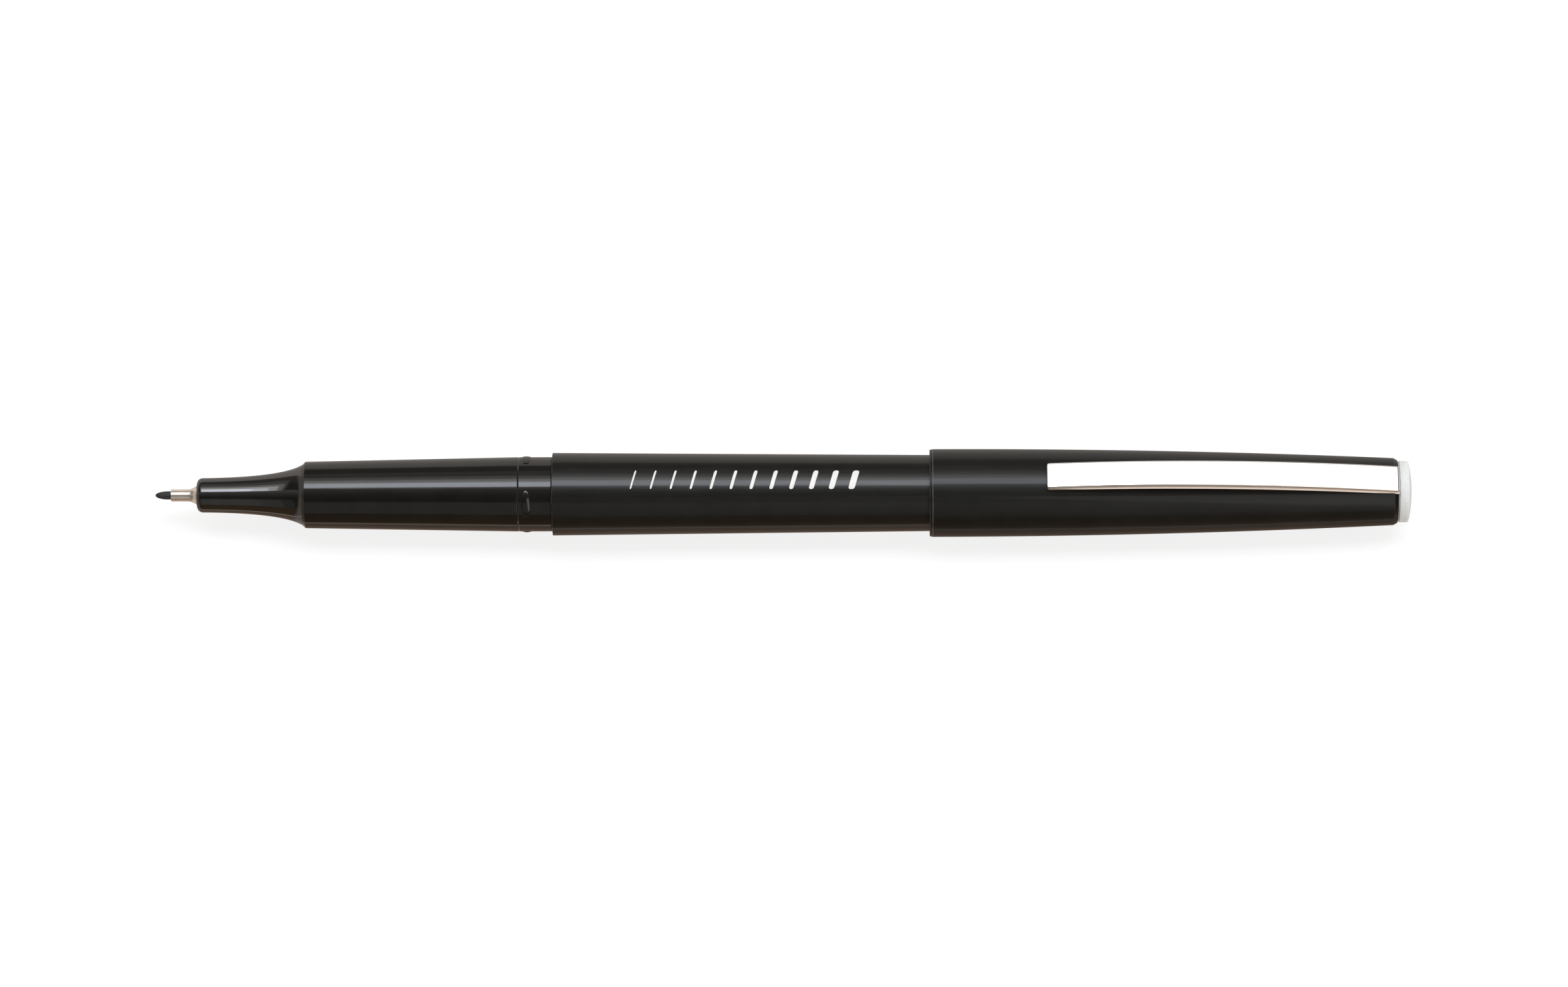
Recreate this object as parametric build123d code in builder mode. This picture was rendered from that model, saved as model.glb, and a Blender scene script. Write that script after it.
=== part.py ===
from build123d import *
import os

# A capped fineliner pen, lying on its side with the cap posted on the rear of the barrel.
# Millimetres. The pen axis runs along X, with the nib towards -X and the clip up, towards +Z.
# Lengths are measured along the axis from the point of the nib. Radii are measured from the axis.

# Fits
press_gap = 0.02
running_gap = 0.03
cut_overrun = 1.0

# Nib
nib_diameter = 1.0
nib_point_length = 1.5
nib_shown_length = 1.9
nib_soak_length = 6.0

# Nib sleeve
sleeve_wall = 0.21
sleeve_edge_round = 0.08
sleeve_tube_length = 1.95
sleeve_flare_length = 1.2
sleeve_flare_rise = 0.47
sleeve_foot_length = 7.0

# Nose section
nose_wall = 0.87
nose_edge_share = 0.95
nose_length = 12.83
nose_straight_length = 1.2
nose_seal_length = 2.65
nose_flare_length_share = 0.8
nose_flare_rise_share = 0.086
nose_seat_width = 0.25
nose_spigot_length = 12.0
nose_cup_depth = 6.0
nose_cup_wall = 0.8
nose_guide_play = 0.05
vent_count = 4
vent_width = 0.6
vent_depth = 0.3

# Ink reservoir and its film
reservoir_diameter = 6.6
film_wall = 0.08
film_play = 0.05
reservoir_end_gap = 0.3

# Grip barrel
grip_length = 26.17
grip_chamfer = 0.33
grip_rise = 0.47
groove_width = 0.2
groove_depth = 0.06
collar_length = 4.1
collar_chamfer = 0.1
grip_spigot_length = 9.0
grip_spigot_wall = 0.72

# Snap lugs on the collar
lug_count = 4
lug_length = 1.0
lug_height = 0.14
lug_setback = 0.95
lug_arc_degrees = 33.0
lug_turn_degrees = 37.0

# Barrel
barrel_step = 0.5
barrel_shown_length = 45.6
barrel_taper_drop = 0.39
barrel_land_length = 4.0
barrel_shoulder = 0.085
barrel_tail_wall = 0.69
barrel_tail_round = 0.45

# Tail plug
tail_plug_depth = 5.0
tail_plug_wall = 0.9
tail_flange_length = 0.9
tail_flange_lip = 0.4
tail_flange_round = 0.3
tail_clearance = 7.6

# Cap
cap_lip_wall = 0.675
cap_lip_band = 0.5
cap_lip_bevel = 0.08
cap_straight_length = 1.0
cap_land_length = 4.5
cap_mouth_chamfer = 0.15
cap_groove_depth = 0.15
cap_tail_gap = 0.06
cap_tip_room = 1.6
cap_crown_length = 6.0
cap_end_chamfer_length = 0.5
cap_end_chamfer_rise = 0.28
cap_end_reveal = 0.06

# Inner cap
inner_cap_play = 0.11
inner_cap_wall = 0.6
inner_cap_floor = 0.8
inner_cap_flange_lip = 0.68
inner_cap_flange_length = 1.0
inner_cap_lead = 0.4
inner_cap_bead_squeeze = 0.02

# Cap plug
plug_head_diameter = 7.44
plug_head_length = 1.12
plug_dome_rise = 0.43
plug_neck_length = 0.16
plug_neck_setback = 0.22
plug_spigot_diameter = 5.8
plug_spigot_length = 5.4
plug_spigot_wall = 0.9

# Clip, a folded steel strip on a ring
clip_sheet = 0.3
clip_width = 3.35
clip_length = 42.0
clip_front_gap = 0.27
clip_rear_gap = 0.13
clip_bow = 1.34
clip_front_depth = 0.4
clip_crown_depth = 0.95
clip_rear_depth = 0.55
clip_edge_round = 0.14
clip_corner_round = 0.3
clip_tab_width = 2.9
clip_bend_radius = 0.4
clip_split_gap = 0.05
clip_ring_lip = 0.42

# Radii, worked outwards from the nib and from the reservoir
nib_radius = nib_diameter / 2
sleeve_bore_radius = nib_radius + press_gap
sleeve_radius = sleeve_bore_radius + sleeve_wall
sleeve_foot_radius = sleeve_radius + sleeve_flare_rise
nose_bore_radius = sleeve_foot_radius + press_gap
nose_radius = nose_bore_radius + nose_wall
reservoir_radius = reservoir_diameter / 2
film_inner_radius = reservoir_radius + press_gap
film_radius = film_inner_radius + film_wall
bore_radius = film_radius + film_play
spigot_radius = bore_radius - press_gap
nose_rear_radius = bore_radius + nose_seat_width
grip_front_radius = nose_rear_radius + grip_chamfer
collar_radius = grip_front_radius + grip_rise
grip_spigot_radius = bore_radius + grip_spigot_wall
barrel_front_radius = collar_radius + barrel_step
barrel_lip_radius = barrel_front_radius - barrel_taper_drop
barrel_slope = barrel_taper_drop / barrel_shown_length
barrel_land_radius = barrel_lip_radius - barrel_slope * barrel_land_length
tail_front_radius = barrel_land_radius - barrel_shoulder
tail_rear_radius = bore_radius + barrel_tail_wall
cap_land_radius = barrel_lip_radius + running_gap
cap_lip_radius = cap_land_radius + cap_lip_wall
plug_head_radius = plug_head_diameter / 2
plug_spigot_radius = plug_spigot_diameter / 2
plug_bore_radius = plug_spigot_radius + press_gap
clip_ring_radius = plug_bore_radius + clip_ring_lip
cap_end_face_radius = plug_head_radius + cap_end_reveal
cap_end_radius = cap_end_face_radius + cap_end_chamfer_rise
inner_cap_bore_radius = nose_radius + inner_cap_play
inner_cap_radius = inner_cap_bore_radius + inner_cap_wall
inner_cap_flange_radius = inner_cap_radius + inner_cap_flange_lip
inner_cap_seat_radius = inner_cap_flange_radius + press_gap

# Stations along the axis, from the point of the nib
tube_front = nib_shown_length
flare_front = tube_front + sleeve_tube_length
nose_front = flare_front + sleeve_flare_length
sleeve_rear = nose_front + sleeve_foot_length
nose_flare_front = nose_front + nose_straight_length
grip_front = nose_front + nose_length
nose_rear = grip_front + nose_spigot_length
collar_front = grip_front + grip_length
barrel_front = collar_front + collar_length
grip_rear = barrel_front + grip_spigot_length
cap_lip = barrel_front + barrel_shown_length

# Depths inside the cap, from its lip. Capped, the lip meets the step and the nib points into the inner cap.
inner_cap_front_depth = barrel_front - nose_front - nose_seal_length
inner_cap_rear_depth = barrel_front + cap_tip_room + inner_cap_floor
cap_length = inner_cap_rear_depth + cap_crown_length
tail_end_depth = inner_cap_front_depth - tail_clearance
barrel_rear_depth = tail_end_depth - tail_flange_length
snap_depth = barrel_front - collar_front - lug_setback

barrel_rear = cap_lip + barrel_rear_depth
reservoir_front = nose_rear + reservoir_end_gap
tail_plug_front = barrel_rear - tail_plug_depth
reservoir_rear = tail_plug_front - reservoir_end_gap
inner_cap_front = cap_lip + inner_cap_front_depth
inner_cap_rear = cap_lip + inner_cap_rear_depth
cap_end = cap_lip + cap_length
plug_head_front = cap_end + plug_neck_length
plug_rim = plug_head_front + plug_head_length
pen_length = plug_rim + plug_dome_rise

# The pen rests on the lip of its cap, and its middle is over the origin
pen_axis = Axis((-pen_length / 2, 0, cap_lip_radius), (1, 0, 0))
pen_plane = Plane(origin=pen_axis.position, x_dir=(1, 0, 0), z_dir=(0, -1, 0))


def cross_plane(station):
    """The plane square to the pen axis at a distance from the point of the nib."""
    return Plane(origin=pen_plane.from_local_coords((station, 0, 0)), x_dir=(0, 1, 0), z_dir=(1, 0, 0))


cap_curve_front = cap_lip + cap_straight_length
cap_curve_rear = cap_end - cap_end_chamfer_length
cap_curve_bend = (cap_curve_front + cap_curve_rear) / 2


def cap_radius_at(station):
    """Outer radius of the cap along its long curve, a parabola that starts level behind the lip."""
    run_share = (station - cap_curve_front) / (cap_curve_rear - cap_curve_front)
    return cap_lip_radius - (cap_lip_radius - cap_end_radius) * run_share**2


os.makedirs("parts", exist_ok=True)

# Nib: a fibre rod from its bullet point back into the reservoir
nib_rear = reservoir_front + nib_soak_length
with BuildPart() as nib:
    with BuildSketch(pen_plane):
        with BuildLine():
            EllipticalCenterArc((nib_point_length, 0), nib_point_length, nib_radius, 90, arc_size=90)
            Polyline((nib_point_length, nib_radius), (nib_rear, nib_radius), (nib_rear, 0), (0, 0))
        make_face()
    revolve(axis=pen_axis)
nib.part.label = "nib"
export_step(nib.part, "parts/nib.step")

# Nib sleeve: a thin tube that flares to a foot inside the nose
with BuildPart() as nib_sleeve:
    with BuildSketch(pen_plane):
        with BuildLine():
            front = tube_front + sleeve_edge_round
            edge = sleeve_radius - sleeve_edge_round
            Polyline((sleeve_rear, sleeve_bore_radius), (tube_front, sleeve_bore_radius), (tube_front, edge))
            TangentArc((tube_front, edge), (front, sleeve_radius), tangent=(0, 1))
            Line((front, sleeve_radius), (flare_front, sleeve_radius))
            TangentArc((flare_front, sleeve_radius), (nose_front, sleeve_foot_radius), tangent=(1, 0))
            Polyline(
                (nose_front, sleeve_foot_radius),
                (sleeve_rear, sleeve_foot_radius),
                (sleeve_rear, sleeve_bore_radius),
            )
        make_face()
    revolve(axis=pen_axis)
nib_sleeve.part.label = "nib_sleeve"
export_step(nib_sleeve.part, "parts/nib_sleeve.step")

# Nose section: a waisted nose, with a vented spigot that is pushed into the grip barrel
nose_edge_round = nose_edge_share * nose_wall
nose_flare_length = grip_front - nose_flare_front
nose_flare_rise = nose_rear_radius - nose_radius
nose_flare_bend = (
    nose_flare_front + nose_flare_length_share * nose_flare_length,
    nose_radius + nose_flare_rise_share * nose_flare_rise,
)
nose_guide_radius = nib_radius + nose_guide_play
nose_cup_radius = spigot_radius - vent_depth - nose_cup_wall
with BuildPart() as nose_section:
    with BuildSketch(pen_plane):
        with BuildLine():
            front = nose_front + nose_edge_round
            edge = nose_radius - nose_edge_round
            TangentArc((nose_front, edge), (front, nose_radius), tangent=(0, 1))
            Line((front, nose_radius), (nose_flare_front, nose_radius))
            Bezier((nose_flare_front, nose_radius), nose_flare_bend, (grip_front, nose_rear_radius))
            Polyline(
                (grip_front, nose_rear_radius),
                (grip_front, spigot_radius),
                (nose_rear, spigot_radius),
                (nose_rear, nose_cup_radius),
                (nose_rear - nose_cup_depth, nose_cup_radius),
                (nose_rear - nose_cup_depth, nose_guide_radius),
                (sleeve_rear, nose_guide_radius),
                (sleeve_rear, nose_bore_radius),
                (nose_front, nose_bore_radius),
                (nose_front, edge),
            )
        make_face()
    revolve(axis=pen_axis)
    with BuildSketch(cross_plane(grip_front + nose_seat_width)):
        with PolarLocations(spigot_radius, vent_count):
            Rectangle(2 * vent_depth, vent_width)
    extrude(amount=nose_spigot_length, mode=Mode.SUBTRACT)
nose_section.part.label = "nose_section"
export_step(nose_section.part, "parts/nose_section.step")

# Ink reservoir: a fibre wad, bored at the front for the tail of the nib
with BuildPart() as ink_reservoir:
    with BuildSketch(cross_plane(reservoir_front)):
        Circle(reservoir_radius)
    extrude(amount=reservoir_rear - reservoir_front)
    with BuildSketch(cross_plane(reservoir_front)):
        Circle(nib_radius + press_gap)
    extrude(amount=nib_soak_length + press_gap, mode=Mode.SUBTRACT)
ink_reservoir.part.label = "ink_reservoir"
export_step(ink_reservoir.part, "parts/ink_reservoir.step")

# Reservoir film: a thin tube around the wad
with BuildPart() as reservoir_film:
    with BuildSketch(cross_plane(reservoir_front)):
        Circle(film_radius)
        Circle(film_inner_radius, mode=Mode.SUBTRACT)
    extrude(amount=reservoir_rear - reservoir_front)
reservoir_film.part.label = "reservoir_film"
export_step(reservoir_film.part, "parts/reservoir_film.step")

# Grip barrel: a tapered tube with a fine groove, the cap's collar and a spigot for the barrel
lug_station = collar_front + lug_setback
lug_front = lug_station - lug_length / 2
lug_rear = lug_station + lug_length / 2
lug_root_radius = collar_radius - lug_height
with BuildPart() as grip_barrel:
    with BuildSketch(pen_plane):
        with BuildLine():
            Polyline(
                (grip_front, bore_radius),
                (grip_front, nose_rear_radius),
                (grip_front + grip_chamfer, grip_front_radius),
                (collar_front - groove_width / 2, collar_radius),
                (collar_front, collar_radius - groove_depth),
                (collar_front + groove_width / 2, collar_radius),
                (barrel_front - collar_chamfer, collar_radius),
                (barrel_front, collar_radius - collar_chamfer),
                (barrel_front, grip_spigot_radius),
                (grip_rear, grip_spigot_radius),
                (grip_rear, bore_radius),
                close=True,
            )
        make_face()
    revolve(axis=pen_axis)
    for number in range(lug_count):
        middle = lug_turn_degrees + number * 360 / lug_count
        with BuildSketch(pen_plane.rotated((middle - lug_arc_degrees / 2, 0, 0))):
            with BuildLine():
                ThreePointArc(
                    (lug_front, collar_radius),
                    (lug_station, collar_radius + lug_height),
                    (lug_rear, collar_radius),
                )
                Polyline(
                    (lug_rear, collar_radius),
                    (lug_rear, lug_root_radius),
                    (lug_front, lug_root_radius),
                    (lug_front, collar_radius),
                )
            make_face()
        revolve(axis=pen_axis, revolution_arc=lug_arc_degrees)
grip_barrel.part.label = "grip_barrel"
export_step(grip_barrel.part, "parts/grip_barrel.step")

# Barrel: tapered from the step to the cap's lip, with a narrower tail inside the cap
barrel_land_rear = cap_lip + barrel_land_length
tail_slope = (tail_front_radius - tail_rear_radius) / (barrel_rear - barrel_land_rear)
tail_round_radius = tail_rear_radius + tail_slope * barrel_tail_round
with BuildPart() as barrel:
    with BuildSketch(pen_plane):
        with BuildLine():
            socket_radius = grip_spigot_radius + press_gap
            socket_rear = grip_rear + reservoir_end_gap
            Polyline(
                (barrel_rear, tail_round_radius - barrel_tail_round),
                (barrel_rear, bore_radius),
                (socket_rear, bore_radius),
                (socket_rear, socket_radius),
                (barrel_front, socket_radius),
                (barrel_front, barrel_front_radius),
                (barrel_land_rear, barrel_land_radius),
                (barrel_land_rear + barrel_shoulder, tail_front_radius),
                (barrel_rear - barrel_tail_round, tail_round_radius),
            )
            TangentArc(
                (barrel_rear, tail_round_radius - barrel_tail_round),
                (barrel_rear - barrel_tail_round, tail_round_radius),
                tangent=(0, 1),
            )
        make_face()
    revolve(axis=pen_axis)
barrel.part.label = "barrel"
export_step(barrel.part, "parts/barrel.step")

# Tail plug: a cored stopper, flanged over the rear of the barrel
tail_flange_radius = bore_radius + tail_flange_lip
tail_end = barrel_rear + tail_flange_length
with BuildPart() as tail_plug:
    with BuildSketch(pen_plane):
        with BuildLine():
            core_radius = spigot_radius - tail_plug_wall
            round_start = tail_end - tail_flange_round
            Polyline(
                (tail_end, tail_flange_radius - tail_flange_round),
                (tail_end, 0),
                (barrel_rear, 0),
                (barrel_rear, core_radius),
                (tail_plug_front, core_radius),
                (tail_plug_front, spigot_radius),
                (barrel_rear, spigot_radius),
                (barrel_rear, tail_flange_radius),
                (round_start, tail_flange_radius),
            )
            TangentArc(
                (tail_end, tail_flange_radius - tail_flange_round),
                (round_start, tail_flange_radius),
                tangent=(0, 1),
            )
        make_face()
    revolve(axis=pen_axis)
tail_plug.part.label = "tail_plug"
export_step(tail_plug.part, "parts/tail_plug.step")

# Clip places: the strip starts at the bend and reaches forward over the cap
clip_root = cap_end - clip_bend_radius
clip_rear = clip_root - clip_split_gap
clip_front = clip_rear - clip_length
clip_rear_top = cap_radius_at(clip_rear) + clip_rear_gap + clip_sheet
clip_front_top = cap_radius_at(clip_front) + clip_front_gap + clip_sheet
clip_notch_width = clip_tab_width + 2 * press_gap

# Cap shell: curved taper outside, a snap groove and a long cone inside, and a notched end for the clip
cone_front = cap_lip + cap_land_length
cone_front_radius = tail_front_radius + cap_tail_gap
cone_rear = inner_cap_front - inner_cap_lead
cone_rear_radius = cone_front_radius - tail_slope * (cone_rear - cone_front)
snap_front = cap_lip + snap_depth - lug_length / 2
snap_middle = cap_lip + snap_depth
snap_rear = cap_lip + snap_depth + lug_length / 2
ring_seat_radius = clip_ring_radius + press_gap
ring_seat = cap_end - clip_sheet
with BuildPart() as cap_shell:
    with BuildSketch(pen_plane):
        with BuildLine():
            Polyline(
                (cap_lip, cap_lip_radius - cap_lip_bevel),
                (cap_lip + cap_lip_band, cap_lip_radius),
                (cap_curve_front, cap_lip_radius),
            )
            Bezier(
                (cap_curve_front, cap_lip_radius),
                (cap_curve_bend, cap_lip_radius),
                (cap_curve_rear, cap_end_radius),
            )
            Polyline(
                (cap_curve_rear, cap_end_radius),
                (cap_end, cap_end_face_radius),
                (cap_end, ring_seat_radius),
                (ring_seat, ring_seat_radius),
                (ring_seat, plug_bore_radius),
                (inner_cap_rear, plug_bore_radius),
                (inner_cap_rear, inner_cap_seat_radius),
                (cone_rear, inner_cap_seat_radius),
                (cone_rear, cone_rear_radius),
                (cone_front, cone_front_radius),
                (cone_front, cap_land_radius),
                (snap_rear, cap_land_radius),
            )
            ThreePointArc(
                (snap_rear, cap_land_radius),
                (snap_middle, cap_land_radius + cap_groove_depth),
                (snap_front, cap_land_radius),
            )
            Polyline(
                (snap_front, cap_land_radius),
                (cap_lip + cap_mouth_chamfer, cap_land_radius),
                (cap_lip, cap_land_radius + cap_mouth_chamfer),
                (cap_lip, cap_lip_radius - cap_lip_bevel),
            )
        make_face()
    revolve(axis=pen_axis)
    with BuildSketch(cross_plane(ring_seat)):
        with Locations((0, plug_bore_radius)):
            Rectangle(clip_notch_width, cap_end_radius, align=(Align.CENTER, Align.MIN))
    extrude(amount=clip_sheet + cut_overrun, mode=Mode.SUBTRACT)
cap_shell.part.label = "cap_shell"
export_step(cap_shell.part, "parts/cap_shell.step")

# Inner cap: a soft cup on two flanges, with a bead that grips the nose when the pen is capped
bead_radius = nose_radius - inner_cap_bead_squeeze
bead_length = 2 * (inner_cap_bore_radius - bead_radius)
with BuildPart() as inner_cap:
    with BuildSketch(pen_plane):
        with BuildLine():
            flange_rear = inner_cap_front + inner_cap_flange_length
            base_front = inner_cap_rear - inner_cap_flange_length
            floor_front = inner_cap_rear - inner_cap_floor
            Polyline(
                (inner_cap_front, inner_cap_radius),
                (inner_cap_front, inner_cap_flange_radius),
                (flange_rear, inner_cap_flange_radius),
                (flange_rear, inner_cap_radius),
                (base_front, inner_cap_radius),
                (base_front, inner_cap_flange_radius),
                (inner_cap_rear, inner_cap_flange_radius),
                (inner_cap_rear, 0),
                (floor_front, 0),
                (floor_front, inner_cap_bore_radius),
                (flange_rear + bead_length, inner_cap_bore_radius),
                (flange_rear + bead_length / 2, bead_radius),
                (flange_rear, inner_cap_bore_radius),
                (inner_cap_front + inner_cap_wall, inner_cap_bore_radius),
                close=True,
            )
        make_face()
    revolve(axis=pen_axis)
inner_cap.part.label = "inner_cap"
export_step(inner_cap.part, "parts/inner_cap.step")

# Cap plug: a cored spigot, a narrow neck that leaves a shadow gap, and a domed head
with BuildPart() as cap_plug:
    with BuildSketch(pen_plane):
        with BuildLine():
            neck_radius = plug_head_radius - plug_neck_setback
            core_radius = plug_spigot_radius - plug_spigot_wall
            spigot_front = cap_end - plug_spigot_length
            Polyline(
                (pen_length, 0),
                (cap_end, 0),
                (cap_end, core_radius),
                (spigot_front, core_radius),
                (spigot_front, plug_spigot_radius),
                (cap_end, plug_spigot_radius),
                (cap_end, neck_radius),
                (plug_head_front, neck_radius),
                (plug_head_front, plug_head_radius),
                (plug_rim, plug_head_radius),
            )
            TangentArc((pen_length, 0), (plug_rim, plug_head_radius), tangent=(0, 1))
        make_face()
    revolve(axis=pen_axis)
cap_plug.part.label = "cap_plug"
export_step(cap_plug.part, "parts/cap_plug.step")

# Clip ring: lies in the end of the cap under the plug, with a tab that bends forward over the rim
with BuildPart() as clip_ring:
    with BuildSketch(cross_plane(ring_seat)):
        Circle(clip_ring_radius)
        Circle(plug_bore_radius, mode=Mode.SUBTRACT)
    extrude(amount=clip_sheet)
    with BuildSketch(pen_plane):
        with BuildLine():
            bend_foot = clip_rear_top - clip_bend_radius
            tab_foot = (plug_bore_radius + clip_ring_radius) / 2
            under_top = clip_rear_top - clip_sheet
            TangentArc((clip_root, clip_rear_top), (cap_end, bend_foot), tangent=(1, 0))
            Polyline((cap_end, bend_foot), (cap_end, tab_foot), (ring_seat, tab_foot), (ring_seat, bend_foot))
            TangentArc((ring_seat, bend_foot), (clip_root, under_top), tangent=(0, 1))
            Line((clip_root, under_top), (clip_root, clip_rear_top))
        make_face()
    extrude(amount=clip_tab_width / 2, both=True)
clip_ring.part.label = "clip_ring"
export_step(clip_ring.part, "parts/clip_ring.step")

# Clip: a bowed strip with its long edges turned down
clip_middle = (clip_front + clip_rear) / 2
clip_crown_top = (clip_front_top + clip_rear_top) / 2 + clip_bow
with BuildPart() as clip:
    with BuildSketch(pen_plane):
        with BuildLine():
            front_foot = (clip_front, clip_front_top - clip_front_depth)
            rear_foot = (clip_rear, clip_rear_top - clip_rear_depth)
            crown_foot = (clip_middle, clip_crown_top - clip_crown_depth)
            ThreePointArc((clip_front, clip_front_top), (clip_middle, clip_crown_top), (clip_rear, clip_rear_top))
            Line((clip_rear, clip_rear_top), rear_foot)
            ThreePointArc(rear_foot, crown_foot, front_foot)
            Line(front_foot, (clip_front, clip_front_top))
        make_face()
    extrude(amount=clip_width / 2, both=True)
    fillet(clip.edges().filter_by(Axis.Z).group_by(Axis.X)[0], clip_corner_round)
    fillet(clip.faces().sort_by(Axis.Z)[-1].edges().sort_by(Axis.X)[:-1], clip_edge_round)
    with BuildSketch(pen_plane):
        with BuildLine():
            front_under = (clip_front - cut_overrun, clip_front_top - clip_sheet)
            rear_under = (clip_rear + cut_overrun, clip_rear_top - clip_sheet)
            crown_under = (clip_middle, clip_crown_top - clip_sheet)
            ThreePointArc(front_under, crown_under, rear_under)
            Polyline(rear_under, (clip_rear + cut_overrun, 0), (clip_front - cut_overrun, 0), front_under)
        make_face()
    extrude(amount=clip_width / 2 - clip_sheet, both=True, mode=Mode.SUBTRACT)
clip.part.label = "clip"
export_step(clip.part, "parts/clip.step")
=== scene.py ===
"""Looks of a fineliner pen with its cap posted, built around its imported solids.

Sizes are millimetres unless a name says otherwise. A station is a distance along the pen axis from the
point of the nib, a radius is a distance from that axis, and a turn is an angle about it from the clip side
towards the front of the picture.
"""

import logging
import math
from abc import ABC, abstractmethod
from collections.abc import Sequence
from dataclasses import dataclass, field
from enum import Enum
from typing import Any, ClassVar

import bmesh
import bpy
from mathutils import Matrix, Quaternion, Vector


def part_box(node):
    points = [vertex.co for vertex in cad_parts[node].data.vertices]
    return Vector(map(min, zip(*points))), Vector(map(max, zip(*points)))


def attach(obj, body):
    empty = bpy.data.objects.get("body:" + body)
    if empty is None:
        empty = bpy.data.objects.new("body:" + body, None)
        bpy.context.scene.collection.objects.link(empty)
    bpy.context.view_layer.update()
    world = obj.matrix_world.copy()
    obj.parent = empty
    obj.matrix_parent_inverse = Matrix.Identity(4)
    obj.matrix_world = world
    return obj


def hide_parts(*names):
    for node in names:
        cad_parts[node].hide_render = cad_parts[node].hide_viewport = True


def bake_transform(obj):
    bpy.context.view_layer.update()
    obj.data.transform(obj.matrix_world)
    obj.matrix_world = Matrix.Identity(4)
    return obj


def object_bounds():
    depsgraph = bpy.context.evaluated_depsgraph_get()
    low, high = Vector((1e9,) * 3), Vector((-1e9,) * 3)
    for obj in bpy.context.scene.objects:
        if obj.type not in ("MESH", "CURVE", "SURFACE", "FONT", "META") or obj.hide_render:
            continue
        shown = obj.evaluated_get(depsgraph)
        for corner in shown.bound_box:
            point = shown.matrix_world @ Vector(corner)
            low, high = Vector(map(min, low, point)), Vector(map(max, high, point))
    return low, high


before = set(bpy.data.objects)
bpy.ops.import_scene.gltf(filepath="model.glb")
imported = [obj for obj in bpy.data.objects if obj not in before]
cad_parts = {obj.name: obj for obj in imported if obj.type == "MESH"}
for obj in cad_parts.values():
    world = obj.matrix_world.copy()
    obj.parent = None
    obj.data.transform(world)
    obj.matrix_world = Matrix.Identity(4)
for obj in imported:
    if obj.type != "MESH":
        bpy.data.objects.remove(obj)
CAD_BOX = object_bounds()

LOG = logging.getLogger("fineliner")
MM = 0.001
WEAR_AND_GLINT = "wear_and_glint"
SHARP_EDGE = math.radians(35.0)
WELD = 1e-4 * MM

Pair = tuple[float, float]
Colour = tuple[float, float, float]
Socket = bpy.types.NodeSocket
WHOLE: Pair = (0.0, 1.0)
NOISE_SPAN: Pair = (0.3, 0.7)


class Body(Enum):
    """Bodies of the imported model."""

    PEN = "pen_body"
    CAP = "cap"
    CLIP = "clip"


class Slot(Enum):
    """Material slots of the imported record."""

    NIB = "nib_fibre"
    SLEEVE = "sleeve_metal"
    NOSE = "nose_plastic"
    BARREL = "barrel_plastic"
    CAP = "cap_plastic"
    WAD = "wad_fibre"
    FILM = "clear_film"
    SEAL = "seal_plastic"
    PLUG = "plug_plastic"
    CLIP = "clip_steel"


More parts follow.
